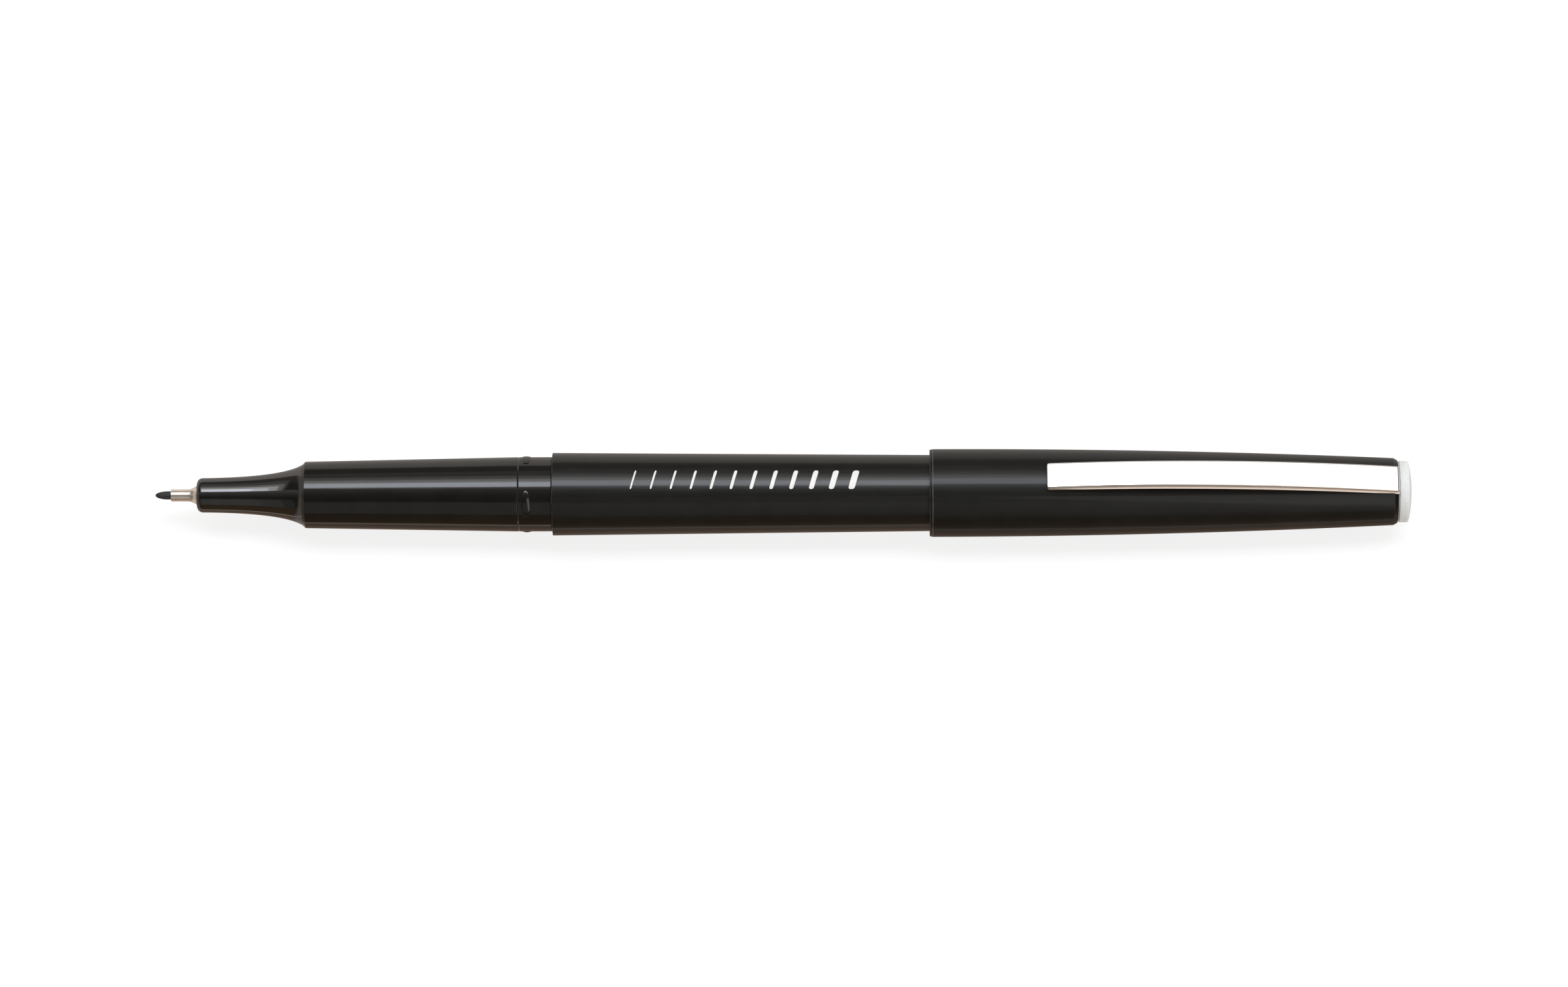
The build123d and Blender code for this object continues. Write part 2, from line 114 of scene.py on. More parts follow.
class Graph:
    """Adds nodes to one tree and wires them."""

    def __init__(self, tree: bpy.types.NodeTree) -> None:
        """Keep the tree that the nodes go into."""
        self.tree = tree

    def add(self, kind: str, feeds: dict[Any, Any] | None = None, **settings: Any) -> bpy.types.Node:
        """Add one node.

        Args:
            kind: The node's type.
            feeds: Sockets or values for its inputs, by name or number.
            settings: The node's own properties.

        Returns:
            The new node.
        """
        node = self.tree.nodes.new(kind)
        for name, value in settings.items():
            setattr(node, name, value)
        self.fill(node, feeds or {})
        return node

    def fill(self, node: bpy.types.Node, feeds: dict[Any, Any]) -> None:
        """Wire sockets to a node's inputs, or set the inputs' own values.

        Args:
            node: The node.
            feeds: Sockets or values, by the name or number of the input.
        """
        for key, value in feeds.items():
            if isinstance(value, bpy.types.NodeSocket):
                self.tree.links.new(value, node.inputs[key])
            else:
                node.inputs[key].default_value = value

    def maths(self, operation: str, *values: Any) -> Socket:
        """Work out one sum from sockets or numbers."""
        return self.add("ShaderNodeMath", dict(enumerate(values)), operation=operation).outputs[0]

    def combine(self, x: Any, y: Any, z: Any) -> Socket:
        """Join three numbers into a vector."""
        return self.add("ShaderNodeCombineXYZ", {0: x, 1: y, 2: z}).outputs[0]

    def split(self, vector: Socket) -> tuple[Socket, Socket, Socket]:
        """Take a vector apart."""
        node = self.add("ShaderNodeSeparateXYZ", {0: vector})
        return node.outputs[0], node.outputs[1], node.outputs[2]

    def spread(self, value: Socket, source: Pair, target: Pair = WHOLE) -> Socket:
        """Map a value from one span to another, held within it.

        Args:
            value: The value to map.
            source: The span that it comes from.
            target: The span that it goes to.

        Returns:
            The mapped value.
        """
        feeds = {0: value, 1: source[0], 2: source[1], 3: target[0], 4: target[1]}
        return self.add("ShaderNodeMapRange", feeds).outputs[0]

    def mix(self, share: Socket, first: Any, second: Any) -> Socket:
        """Mix two colours by a share.

        Args:
            share: Zero for the first, one for the second.
            first: A colour or its socket.
            second: A colour or its socket.

        Returns:
            The mixed colour.
        """
        sides = [side if isinstance(side, bpy.types.NodeSocket) else (*side, 1.0) for side in (first, second)]
        return self.add("ShaderNodeMix", {0: share, 6: sides[0], 7: sides[1]}, data_type="RGBA").outputs[2]

    def place(self, along: float = 1.0) -> Socket:
        """Give the object's own coordinates in millimetres, with a share of those along the pen.

        Args:
            along: The share, where lines along the pen are wanted.

        Returns:
            The coordinates.
        """
        source = self.add("ShaderNodeTexCoord").outputs["Object"]
        scale = (along / MM, 1.0 / MM, 1.0 / MM)
        return self.add("ShaderNodeMapping", {"Vector": source, "Scale": scale}).outputs[0]

    def noise(self, place: Socket, size: float, detail: float = 2.0) -> Socket:
        """Give cloudy noise.

        Args:
            place: Coordinates in millimetres.
            size: The size of one cloud.
            detail: How many finer layers it has.

        Returns:
            Values about one half.
        """
        feeds = {"Vector": place, "Scale": 1.0 / size, "Detail": detail}
        return self.add("ShaderNodeTexNoise", feeds).outputs[0]

    def lines(self, size: float, along: float) -> Socket:
        """Give noise drawn out along the pen: the smaller its share along, the longer the lines."""
        return self.noise(self.place(along), size, detail=3.0)

    def wear_and_glint(self) -> Socket:
        """Give the share of edge colour from the mesh's own attribute: rubbed edges, and on the black
        plastics also a painted edge highlight.
        """
        return self.add("ShaderNodeAttribute", attribute_name=WEAR_AND_GLINT).outputs["Fac"]

    def ramp(self, share: Socket, stops: Sequence[tuple[float, Colour]]) -> Socket:
        """Give a colour that changes evenly from stop to stop.

        Args:
            share: Where along the ramp to look, from zero to one.
            stops: Place and colour of each stop, in order.

        Returns:
            The colour.
        """
        node = self.add("ShaderNodeValToRGB", {0: share})
        marks = node.color_ramp.elements
        for place, _ in stops[1:-1]:
            marks.new(place)
        for mark, (place, colour) in zip(marks, stops):
            mark.position = place
            mark.color = (*colour, 1.0)
        return node.outputs[0]

    def bump(self, height: Socket, depth: float) -> Socket:
        """Turn a height pattern of a real depth into a surface direction."""
        return self.add("ShaderNodeBump", {"Height": height, "Distance": depth * MM}).outputs[0]


@dataclass(frozen=True)
class Finish(ABC):
    """A surface finish, made once as a node material."""

    name: str
    slot: Slot

    def material(self) -> bpy.types.Material:
        """Make the material, or give the one that was made before.

        Returns:
            The material.
        """
        made = bpy.data.materials.get(self.name)
        if made is None:
            made = bpy.data.materials.new(self.name)
            made.use_nodes = True
            self.paint(Graph(made.node_tree), made.node_tree.nodes["Principled BSDF"])
        return made

    @abstractmethod
    def paint(self, graph: Graph, shader: bpy.types.Node) -> None:
        """Wire the pattern of the finish into the shader."""


@dataclass(frozen=True)
class MouldedPlastic(Finish):
    """Moulded plastic with fine peel, flow streaks along the pen and paler edges, partly rubbed and partly a
    painted edge highlight.
    """

    colour: Colour
    tint: Colour
    roughness: Pair
    edge_colour: Colour
    specular: float = 0.5
    coat: float = 0.0
    coat_roughness: float = 0.08
    mottle: float = 2.5
    mottle_span: Pair = (0.35, 0.65)
    streak: float = 0.25
    streak_share: float = 0.03
    scuff: float = 0.5
    scuff_span: Pair = (0.3, 0.6)
    scuff_reach: Pair = (0.4, 1.0)
    peel: float = 0.35
    peel_depth: float = 0.001

    def paint(self, graph: Graph, shader: bpy.types.Node) -> None:
        """Wire mottle, streaks, pale edges that are partly rubbed and partly a painted edge highlight, and
        peel.

        Args:
            graph: The material's tree.
            shader: Its main shader.
        """
        place = graph.place()
        mottle = graph.spread(graph.noise(place, self.mottle, detail=4.0), self.mottle_span)
        streaks = graph.lines(self.streak, self.streak_share)
        scuff = graph.spread(graph.noise(place, self.scuff), self.scuff_span, self.scuff_reach)
        # Pale edge colour along rounded edges and seams: partly rubbed, partly a painted edge highlight.
        worn_and_glinting = graph.maths("MULTIPLY", graph.wear_and_glint(), scuff)
        tone = graph.mix(mottle, self.colour, self.tint)
        feeds = {
            "Base Color": graph.mix(worn_and_glinting, tone, self.edge_colour),
            "Roughness": graph.spread(streaks, NOISE_SPAN, self.roughness),
            "Normal": graph.bump(graph.noise(place, self.peel), self.peel_depth),
            "Specular IOR Level": self.specular,
            "Coat Weight": self.coat,
            "Coat Roughness": self.coat_roughness,
        }
        graph.fill(shader, feeds)


@dataclass(frozen=True)
class PlatedMetal(Finish):
    """Plated metal with fine drawing lines, a slight patina and brighter worn edges."""

    colour: Colour
    tint: Colour
    roughness: Pair
    edge_colour: Colour
    metallic: float = 0.8
    line: float = 0.05
    line_share: float = 0.02
    line_depth: float = 0.0004
    patina: float = 1.8
    patina_span: Pair = (0.4, 0.7)

    def paint(self, graph: Graph, shader: bpy.types.Node) -> None:
        """Wire lines, patina and worn edges.

        Args:
            graph: The material's tree.
            shader: Its main shader.
        """
        lines = graph.lines(self.line, self.line_share)
        patina = graph.spread(graph.noise(graph.place(), self.patina, detail=5.0), self.patina_span)
        tone = graph.mix(patina, self.colour, self.tint)
        feeds = {
            "Base Color": graph.mix(graph.wear_and_glint(), tone, self.edge_colour),
            "Roughness": graph.spread(lines, NOISE_SPAN, self.roughness),
            "Normal": graph.bump(lines, self.line_depth),
            "Metallic": self.metallic,
        }
        graph.fill(shader, feeds)


@dataclass(frozen=True)
class BondedFibre(Finish):
    """Bonded strands along the pen, soaked with ink."""

    colour: Colour
    tint: Colour
    roughness: Pair = (0.55, 0.85)
    strand: float = 0.09
    strand_share: float = 0.06
    strand_span: Pair = (0.35, 0.7)
    strand_depth: float = 0.012

    def paint(self, graph: Graph, shader: bpy.types.Node) -> None:
        """Wire strands and the uneven ink.

        Args:
            graph: The material's tree.
            shader: Its main shader.
        """
        strands = graph.lines(self.strand, self.strand_share)
        feeds = {
            "Base Color": graph.mix(graph.spread(strands, self.strand_span), self.colour, self.tint),
            "Roughness": graph.spread(strands, NOISE_SPAN, self.roughness),
            "Normal": graph.bump(strands, self.strand_depth),
        }
        graph.fill(shader, feeds)


@dataclass(frozen=True)
class ChalkyPlastic(Finish):
    """Matt plastic with a rough skin and scattered darker specks."""

    colour: Colour
    tint: Colour
    roughness: Pair = (0.5, 0.75)
    skin: float = 0.22
    skin_depth: float = 0.02
    fleck: float = 0.3
    fleck_span: Pair = (0.5, 0.72)
    cloudiness: float = 0.0
    cloud_depth: float = 1.2
    cloud_colour: Colour = (1.0, 0.95, 0.88)

    def paint(self, graph: Graph, shader: bpy.types.Node) -> None:
        """Wire the skin and its specks.

        Args:
            graph: The material's tree.
            shader: Its main shader.
        """
        place = graph.place()
        skin = graph.noise(place, self.skin, detail=4.0)
        flecks = graph.spread(graph.noise(place, self.fleck, detail=3.0), self.fleck_span)
        feeds = {
            "Base Color": graph.mix(flecks, self.colour, self.tint),
            "Roughness": graph.spread(skin, NOISE_SPAN, self.roughness),
            "Normal": graph.bump(skin, self.skin_depth),
            "Subsurface Weight": self.cloudiness,
            "Subsurface Scale": self.cloud_depth * MM,
            "Subsurface Radius": self.cloud_colour,
        }
        graph.fill(shader, feeds)


BLACK: Colour = (0.0062, 0.0060, 0.0050)
WARM_BLACK: Colour = (0.0084, 0.0080, 0.0066)
# Edge colour of the black plastics, far paler than the body: partly rubbed, partly a painted edge highlight.
RUBBED_AND_GLINT_BLACK: Colour = (0.12, 0.118, 0.115)
GLOSS_NOSE = MouldedPlastic(
    "gloss_nose", Slot.NOSE, BLACK, WARM_BLACK, (0.06, 0.10), RUBBED_AND_GLINT_BLACK, specular=1.0
)
GLOSS_GRIP = MouldedPlastic("gloss_grip", Slot.BARREL, BLACK, WARM_BLACK, (0.10, 0.16), RUBBED_AND_GLINT_BLACK)
GLOSS_BARREL = MouldedPlastic(
    "gloss_barrel", Slot.BARREL, BLACK, WARM_BLACK, (0.27, 0.34), RUBBED_AND_GLINT_BLACK, specular=0.27, coat=0.27
)
SATIN_CAP = MouldedPlastic(
    "satin_cap",
    Slot.CAP,
    BLACK,
    WARM_BLACK,
    (0.32, 0.40),
    # Pale edge colour of the cap: partly rubbed, partly a painted edge highlight.
    (0.16, 0.157, 0.152),
    specular=0.22,
    coat=0.18,
    peel=0.2,
    peel_depth=0.0016,
)
PLAIN_SEAL = ChalkyPlastic("soft_seal", Slot.SEAL, (0.78, 0.78, 0.75), (0.7, 0.69, 0.65), skin_depth=0.006)
PALE_PLUG = ChalkyPlastic(
    "pale_plug", Slot.PLUG, (0.79, 0.80, 0.78), (0.71, 0.71, 0.68), skin_depth=0.006, cloudiness=0.5
)
PRINT_INK = ChalkyPlastic(
    "cream_print", Slot.BARREL, (0.86, 0.84, 0.80), (0.78, 0.75, 0.70), (0.35, 0.5), skin_depth=0.002
)
NIB_FIBRE = BondedFibre("inked_fibre", Slot.NIB, (0.009, 0.009, 0.008), (0.058, 0.056, 0.050))
WAD_FIBRE = BondedFibre("fibre_wad", Slot.WAD, (0.02, 0.02, 0.025), (0.09, 0.09, 0.095), strand=0.2)
CLEAR_FILM = MouldedPlastic(
    "thin_film", Slot.FILM, (0.70, 0.72, 0.73), (0.62, 0.64, 0.65), (0.12, 0.25), (0.75, 0.77, 0.78)
)
NICKEL_SLEEVE = PlatedMetal(
    "drawn_nickel", Slot.SLEEVE, (0.93, 0.86, 0.77), (0.84, 0.75, 0.64), (0.14, 0.26), (0.86, 0.82, 0.76)
)
CLIP_STEEL = PlatedMetal(
    "bright_steel",
    Slot.CLIP,
    (0.80, 0.78, 0.75),
    (0.74, 0.71, 0.67),
    (0.07, 0.13),
    (0.86, 0.84, 0.81),
    line_depth=0.00003,
)


@dataclass(frozen=True)
class PenAxis:
    """Where the pen axis lies in the shared frame, in metres."""

    tip: float
    height: float

    @classmethod
    def packed(cls) -> "PenAxis":
        """Read the axis from the nib's point and the middle of the cap."""
        low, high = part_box("cap_shell")
        return cls(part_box("nib")[0].x, (low.z + high.z) / 2)

    def along(self, station: float) -> float:
        """Give the place of a station along the frame's X axis, in metres."""
        return self.tip + station * MM

    def point(self, station: float, across: float, up: float) -> Vector:
        """Give a point of the frame, in metres.

        Args:
            station: Distance along the axis.
            across: Distance from the axis, away from the front of the picture.
            up: Distance from the axis towards the clip.

        Returns:
            The point.
        """
        return Vector((self.along(station), across * MM, self.height + up * MM))


AXIS = PenAxis.packed()


@dataclass(frozen=True)
class Span:
    """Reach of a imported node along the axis, and its widest radius."""

    front: float
    rear: float
    radius: float

    @classmethod
    def of(cls, node: str) -> "Span":
        """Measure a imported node."""
        low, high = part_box(node)
        return cls((low.x - AXIS.tip) / MM, (high.x - AXIS.tip) / MM, (high.y - low.y) / 2 / MM)


def span_of(node: str) -> Any:
    """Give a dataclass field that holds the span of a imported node."""
    return field(default_factory=lambda: Span.of(node))


@dataclass(frozen=True)
class Corner:
    """A point of an outline.

    Soft is how far its edge is rounded, its pale share is how much of that edge is painted pale, partly as
    rubbing and partly as a painted edge highlight, and a flowing point lies on a curve.
    """

    station: float
    radius: float
    soft: float = 0.0
    rub_and_glint: float = 1.0
    flows: bool = False


def bend(start: Corner, pull: Pair, end: Corner, steps: int) -> list[Corner]:
    """Join two corners by a curve that leaves and arrives towards one pulling point.

    Args:
        start: Where the curve leaves.
        pull: Station and radius of the pulling point.
        end: Where the curve arrives.
        steps: How many pieces the curve has.

    Returns:
        The points of the curve, both ends among them.
    """
    points = []
    for number in range(steps + 1):
        t = number / steps
        shares = ((1 - t) ** 2, 2 * t * (1 - t), t**2)
        station = sum(map(math.prod, zip(shares, (start.station, pull[0], end.station))))
        radius = sum(map(math.prod, zip(shares, (start.radius, pull[1], end.radius))))
        points.append(Corner(station, radius, flows=True))
    return points


@dataclass
class Outline:
    """Half section of a turned piece: a chain of corners, closed on itself unless it ends on the axis."""

    corners: Sequence[Corner]
    closed: bool = True
    edge_steps: int = 6
    edge_share: float = 0.45
    support: float = 0.03
    run: float = 1.2

    def rounded(self, before: Corner, corner: Corner, after: Corner) -> list[tuple[Corner, float]]:
        """Round one corner.

        Args:
            before: The corner that comes before.
            corner: The corner to round.
            after: The corner that comes after.

        Returns:
            Points of the round edge, each with its share of pale edge colour, partly rubbed and partly a
            painted edge highlight.
        """
        ends = []
        for other in (before, after):
            reach = math.dist((corner.station, corner.radius), (other.station, other.radius))
            share = min(corner.soft / reach, self.edge_share)
            station = corner.station + share * (other.station - corner.station)
            radius = corner.radius + share * (other.radius - corner.radius)
            ends.append(Corner(station, radius))
        curve = bend(ends[0], (corner.station, corner.radius), ends[1], self.edge_steps)
        curve[0] = ends[0]
        curve[-1] = ends[1]
        # The pale edge share peaks mid-edge: partly rubbed, partly a painted edge highlight.
        wear_and_glint_shares = [corner.rub_and_glint * math.sin(math.pi * number / self.edge_steps) for number in range(len(curve))]
        return list(zip(curve, wear_and_glint_shares))

    def points(self) -> list[tuple[float, float, float]]:
        """Sample the outline, with close rows beside each edge that keep the shading flat.

        Returns:
            Station, radius and wear of each point.
        """
        chain: list[tuple[Corner, float]] = []
        for number, corner in enumerate(self.corners):
            if corner.soft:
                after = self.corners[(number + 1) % len(self.corners)]
                chain += self.rounded(self.corners[number - 1], corner, after)
            else:
                chain.append((corner, 0.0))
        if self.closed:
            chain.append(chain[0])
        sampled = []
        for (first, wear_and_glint), (second, _) in zip(chain, chain[1:]):
            sampled.append((first.station, first.radius, wear_and_glint))
            reach = math.dist((first.station, first.radius), (second.station, second.radius))
            if reach < 4 * self.support or (first.flows and second.flows):
                continue
            count = math.ceil(reach / self.run)
            shares = {number / count for number in range(1, count)}
            shares |= {self.support / reach, 1 - self.support / reach}
            for share in sorted(shares):
                station = first.station + share * (second.station - first.station)
                sampled.append((station, first.radius + share * (second.radius - first.radius), 0.0))
        last, wear_and_glint = chain[-1]
        return sampled + [(last.station, last.radius, wear_and_glint)]

    def mesh(self, name: str) -> bpy.types.Mesh:
        """Make the outline a chain of edges in metres, with its share of pale edge colour, partly rubbed and
        partly a painted edge highlight, as an attribute.

        Args:
            name: The mesh's name.

        Returns:
            The mesh.
        """
        points = self.points()
        made = bpy.data.meshes.new(name)
        places = [(AXIS.along(station), radius * MM, 0.0) for station, radius, _ in points]
        made.from_pydata(places, [(number, number + 1) for number in range(len(points) - 1)], [])
        made.attributes.new(WEAR_AND_GLINT, "FLOAT", "POINT").data.foreach_set("value", [wear_and_glint for _, _, wear_and_glint in points])
        return made


def flatten(piece: bpy.types.Object) -> bpy.types.Object:
    """Turn a piece and its modifiers into a plain mesh with outward, cleanly shaded faces.

    Args:
        piece: The object to flatten.

    Returns:
        The same object.
    """
    graph = bpy.context.evaluated_depsgraph_get()
    result = piece.evaluated_get(graph)
    made = bpy.data.meshes.new_from_object(result, preserve_all_data_layers=True, depsgraph=graph)
    piece.modifiers.clear()
    piece.data = made
    shape = bmesh.new()
    shape.from_mesh(made)
    bmesh.ops.recalc_face_normals(shape, faces=shape.faces)
    shape.to_mesh(made)
    shape.free()
    made.shade_smooth()
    made.set_sharp_from_angle(angle=SHARP_EDGE)
    return piece


def new_piece(name: str, mesh: bpy.types.Mesh) -> bpy.types.Object:
    """Put a mesh into the scene as a piece at the origin.

    Args:
        name: The piece's name.
        mesh: Its mesh.

    Returns:
        The piece.
    """
    piece = bpy.data.objects.new(name, mesh)
    bpy.context.scene.collection.objects.link(piece)
    return piece


def add_box(shape: bmesh.types.BMesh, low: Vector, high: Vector) -> None:
    """Add a box to a mesh.

    Args:
        shape: The mesh that it goes into.
        low: Its lowest corner.
        high: Its highest corner.
    """
    for vertex in bmesh.ops.create_cube(shape, size=1.0)["verts"]:
        vertex.co = Vector(high[side] if vertex.co[side] > 0 else low[side] for side in range(3))


def bridge(shape: bmesh.types.BMesh, rows: Sequence[Sequence[bmesh.types.BMVert]]) -> None:
    """Join each row of vertices, closed on itself, to the next row by faces.

    Args:
        shape: The mesh that the faces go into.
        rows: The rows, all of one length.
    """
    for first, second in zip(rows, rows[1:]):
        for number in range(len(first)):
            after = (number + 1) % len(first)
            shape.faces.new((first[number], first[after], second[after], second[number]))


class NodeShape(ABC):
    """A Geometry Nodes tree with named inputs, whose results become plain meshes."""

    title: ClassVar[str]
    numbers: ClassVar[Sequence[str]] = ()
    counts: ClassVar[Sequence[str]] = ()

    def __init__(self) -> None:
        """Build the tree, which ends in Realize Instances and Set Material."""
        self.tree = bpy.data.node_groups.new(self.title, "GeometryNodeTree")
        self.keys: dict[str, str] = {}
        self.socket("Geometry", "Geometry")
        self.socket("Material", "Material")
        self.socket("Axis Height", "Float")
        for name in self.numbers:
            self.socket(name, "Float")
        for name in self.counts:
            self.socket(name, "Int")
        self.tree.interface.new_socket("Geometry", in_out="OUTPUT", socket_type="NodeSocketGeometry")
        self.graph = Graph(self.tree)
        self.entry = self.graph.add("NodeGroupInput").outputs
        whole = self.graph.add("GeometryNodeRealizeInstances", {0: self.wire()}).outputs[0]
        feeds = {"Geometry": whole, "Material": self.entry["Material"]}
        dressed = self.graph.add("GeometryNodeSetMaterial", feeds).outputs[0]
        self.graph.add("NodeGroupOutput", {0: dressed})

    def socket(self, name: str, kind: str) -> None:
        """Add a named input to the tree and keep its identifier."""
        made = self.tree.interface.new_socket(name, in_out="INPUT", socket_type="NodeSocket" + kind)
        self.keys[name] = made.identifier

    @abstractmethod
    def wire(self) -> Socket:
        """Wire the tree's own nodes and give the geometry that comes out of them."""

    def moved(self, geometry: Socket, place: Socket) -> Socket:
        """Set every point of a geometry to a new place."""
        return self.graph.add("GeometryNodeSetPosition", {"Geometry": geometry, "Position": place}).outputs[0]

    def wrapped(self, station: Socket, radius: Socket, turn: Socket) -> Socket:
        """Give the point at a place along the axis, a radius and a turn, with the axis at no height.

        Args:
            station: The place along the axis.
            radius: The distance from the axis.
            turn: The angle about the axis.

        Returns:
            The point.
        """
        graph = self.graph
        across = graph.maths("MULTIPLY", radius, graph.maths("SINE", turn))
        up = graph.maths("MULTIPLY", radius, graph.maths("COSINE", turn))
        return graph.combine(station, graph.maths("MULTIPLY", across, -1.0), up)

    def axis_point(self) -> Socket:
        """Give the point of the pen axis above the frame's origin."""
        return self.graph.combine(0.0, 0.0, self.entry["Axis Height"])

    def lifted(self, place: Socket) -> Socket:
        """Raise a point by the height of the pen axis."""
        feeds = {0: place, 1: self.axis_point()}
        return self.graph.add("ShaderNodeVectorMath", feeds, operation="ADD").outputs[0]

    def make(
        self, name: str, finish: Finish, mesh: bpy.types.Mesh | None = None, **values: Any
    ) -> bpy.types.Object:
        """Run the tree and keep its result as a plain mesh.

        Args:
            name: The piece's name.
            finish: What the piece is dressed in.
            mesh: What the tree starts from, if anything.
            values: Its inputs, with spaces in their names written as underscores.

        Returns:
            The piece.
        """
        piece = new_piece(name, mesh or bpy.data.meshes.new(name))
        modifier = piece.modifiers.new(self.title, "NODES")
        modifier.node_group = self.tree
        modifier[self.keys["Material"]] = finish.material()
        modifier[self.keys["Axis Height"]] = AXIS.height
        for key, value in values.items():
            modifier[self.keys[key.replace("_", " ")]] = value
        return flatten(piece)


class TurnedShell(NodeShape):
    """Turns an outline about the pen axis."""

    title = "turned_shell"
    numbers = ("Weld",)
    counts = ("Segments",)

    def wire(self) -> Socket:
        """Lay a grid of outline points by segments, and roll it round the axis.

        Returns:
            The turned shell.
        """
        graph, entry = self.graph, self.entry
        outline = entry["Geometry"]
        size = graph.add("GeometryNodeAttributeDomainSize", {0: outline}, component="MESH")
        rows = size.outputs["Point Count"]
        columns = graph.maths("ADD", entry["Segments"], 1.0)
        grid = graph.add("GeometryNodeMeshGrid", {"Vertices X": rows, "Vertices Y": columns}).outputs["Mesh"]
        index = graph.add("GeometryNodeInputIndex").outputs[0]
        row = graph.maths("FLOOR", graph.maths("DIVIDE", index, columns))
        column = graph.maths("MODULO", index, columns)
        turn = graph.maths("MULTIPLY", graph.maths("DIVIDE", column, entry["Segments"]), math.tau)
        position = graph.add("GeometryNodeInputPosition").outputs[0]
        station, radius, _ = graph.split(self.sampled(outline, position, "FLOAT_VECTOR", row))
        place = self.lifted(self.wrapped(station, radius, turn))
        # Carry the pale edge share, partly rubbed and partly a painted edge highlight, onto the shell.
        wear_and_glint = graph.add("GeometryNodeInputNamedAttribute", {"Name": WEAR_AND_GLINT}, data_type="FLOAT").outputs[0]
        feeds = {"Geometry": grid, "Name": WEAR_AND_GLINT, "Value": self.sampled(outline, wear_and_glint, "FLOAT", row)}
        marked = graph.add("GeometryNodeStoreNamedAttribute", feeds, data_type="FLOAT", domain="POINT")
        feeds = {"Geometry": self.moved(marked.outputs[0], place), "Distance": entry["Weld"]}
        return graph.add("GeometryNodeMergeByDistance", feeds).outputs[0]

    def sampled(self, outline: Socket, value: Socket, kind: str, row: Socket) -> Socket:
        """Read a value of the outline at a row of the grid."""
        feeds = {"Geometry": outline, "Value": value, "Index": row}
        return self.graph.add("GeometryNodeSampleIndex", feeds, data_type=kind, domain="POINT").outputs[0]

    def turn(self, name: str, finish: Finish, outline: Outline, segments: int) -> bpy.types.Object:
        """Turn one outline into a piece.

        Args:
            name: The piece's name.
            finish: What the piece is dressed in.
            outline: Its half section.
            segments: How many faces go round it.

        Returns:
            The piece.
        """
        return self.make(name, finish, outline.mesh(name), Weld=WELD, Segments=segments)


class LugRing(NodeShape):
    """Sets lens-shaped lugs round a collar."""

    title = "lug_ring"
    numbers = ("Station", "Radius", "Length", "Arc", "Height", "First Turn")
    counts = ("Count",)
    ball: ClassVar[dict[str, int]] = {"Segments": 48, "Rings": 24}

    def wire(self) -> Socket:
        """Shape one lug from a ball, and repeat it round the axis.

        Returns:
            The ring of lugs.
        """
        graph, entry = self.graph, self.entry
        ball = graph.add("GeometryNodeMeshUVSphere", self.ball).outputs["Mesh"]
        x, y, z = graph.split(graph.add("GeometryNodeInputPosition").outputs[0])
        half_length = graph.maths("DIVIDE", entry["Length"], 2.0)
        station = graph.maths("MULTIPLY_ADD", x, half_length, entry["Station"])
        radius = graph.maths("MULTIPLY_ADD", z, entry["Height"], entry["Radius"])
        turn = graph.maths("MULTIPLY", y, graph.maths("DIVIDE", entry["Arc"], 2.0))
        lug = self.moved(ball, self.wrapped(station, radius, turn))
        feeds = {"Count": entry["Count"], "Start Location": self.axis_point(), "Offset": (0.0, 0.0, 0.0)}
        points = graph.add("GeometryNodeMeshLine", feeds).outputs["Mesh"]
        index = graph.add("GeometryNodeInputIndex").outputs[0]
        step = graph.maths("DIVIDE", math.tau, entry["Count"])
        spin = graph.combine(graph.maths("MULTIPLY_ADD", index, step, entry["First Turn"]), 0.0, 0.0)
        feeds = {"Points": points, "Instance": lug, "Rotation": spin}
        return graph.add("GeometryNodeInstanceOnPoints", feeds).outputs[0]


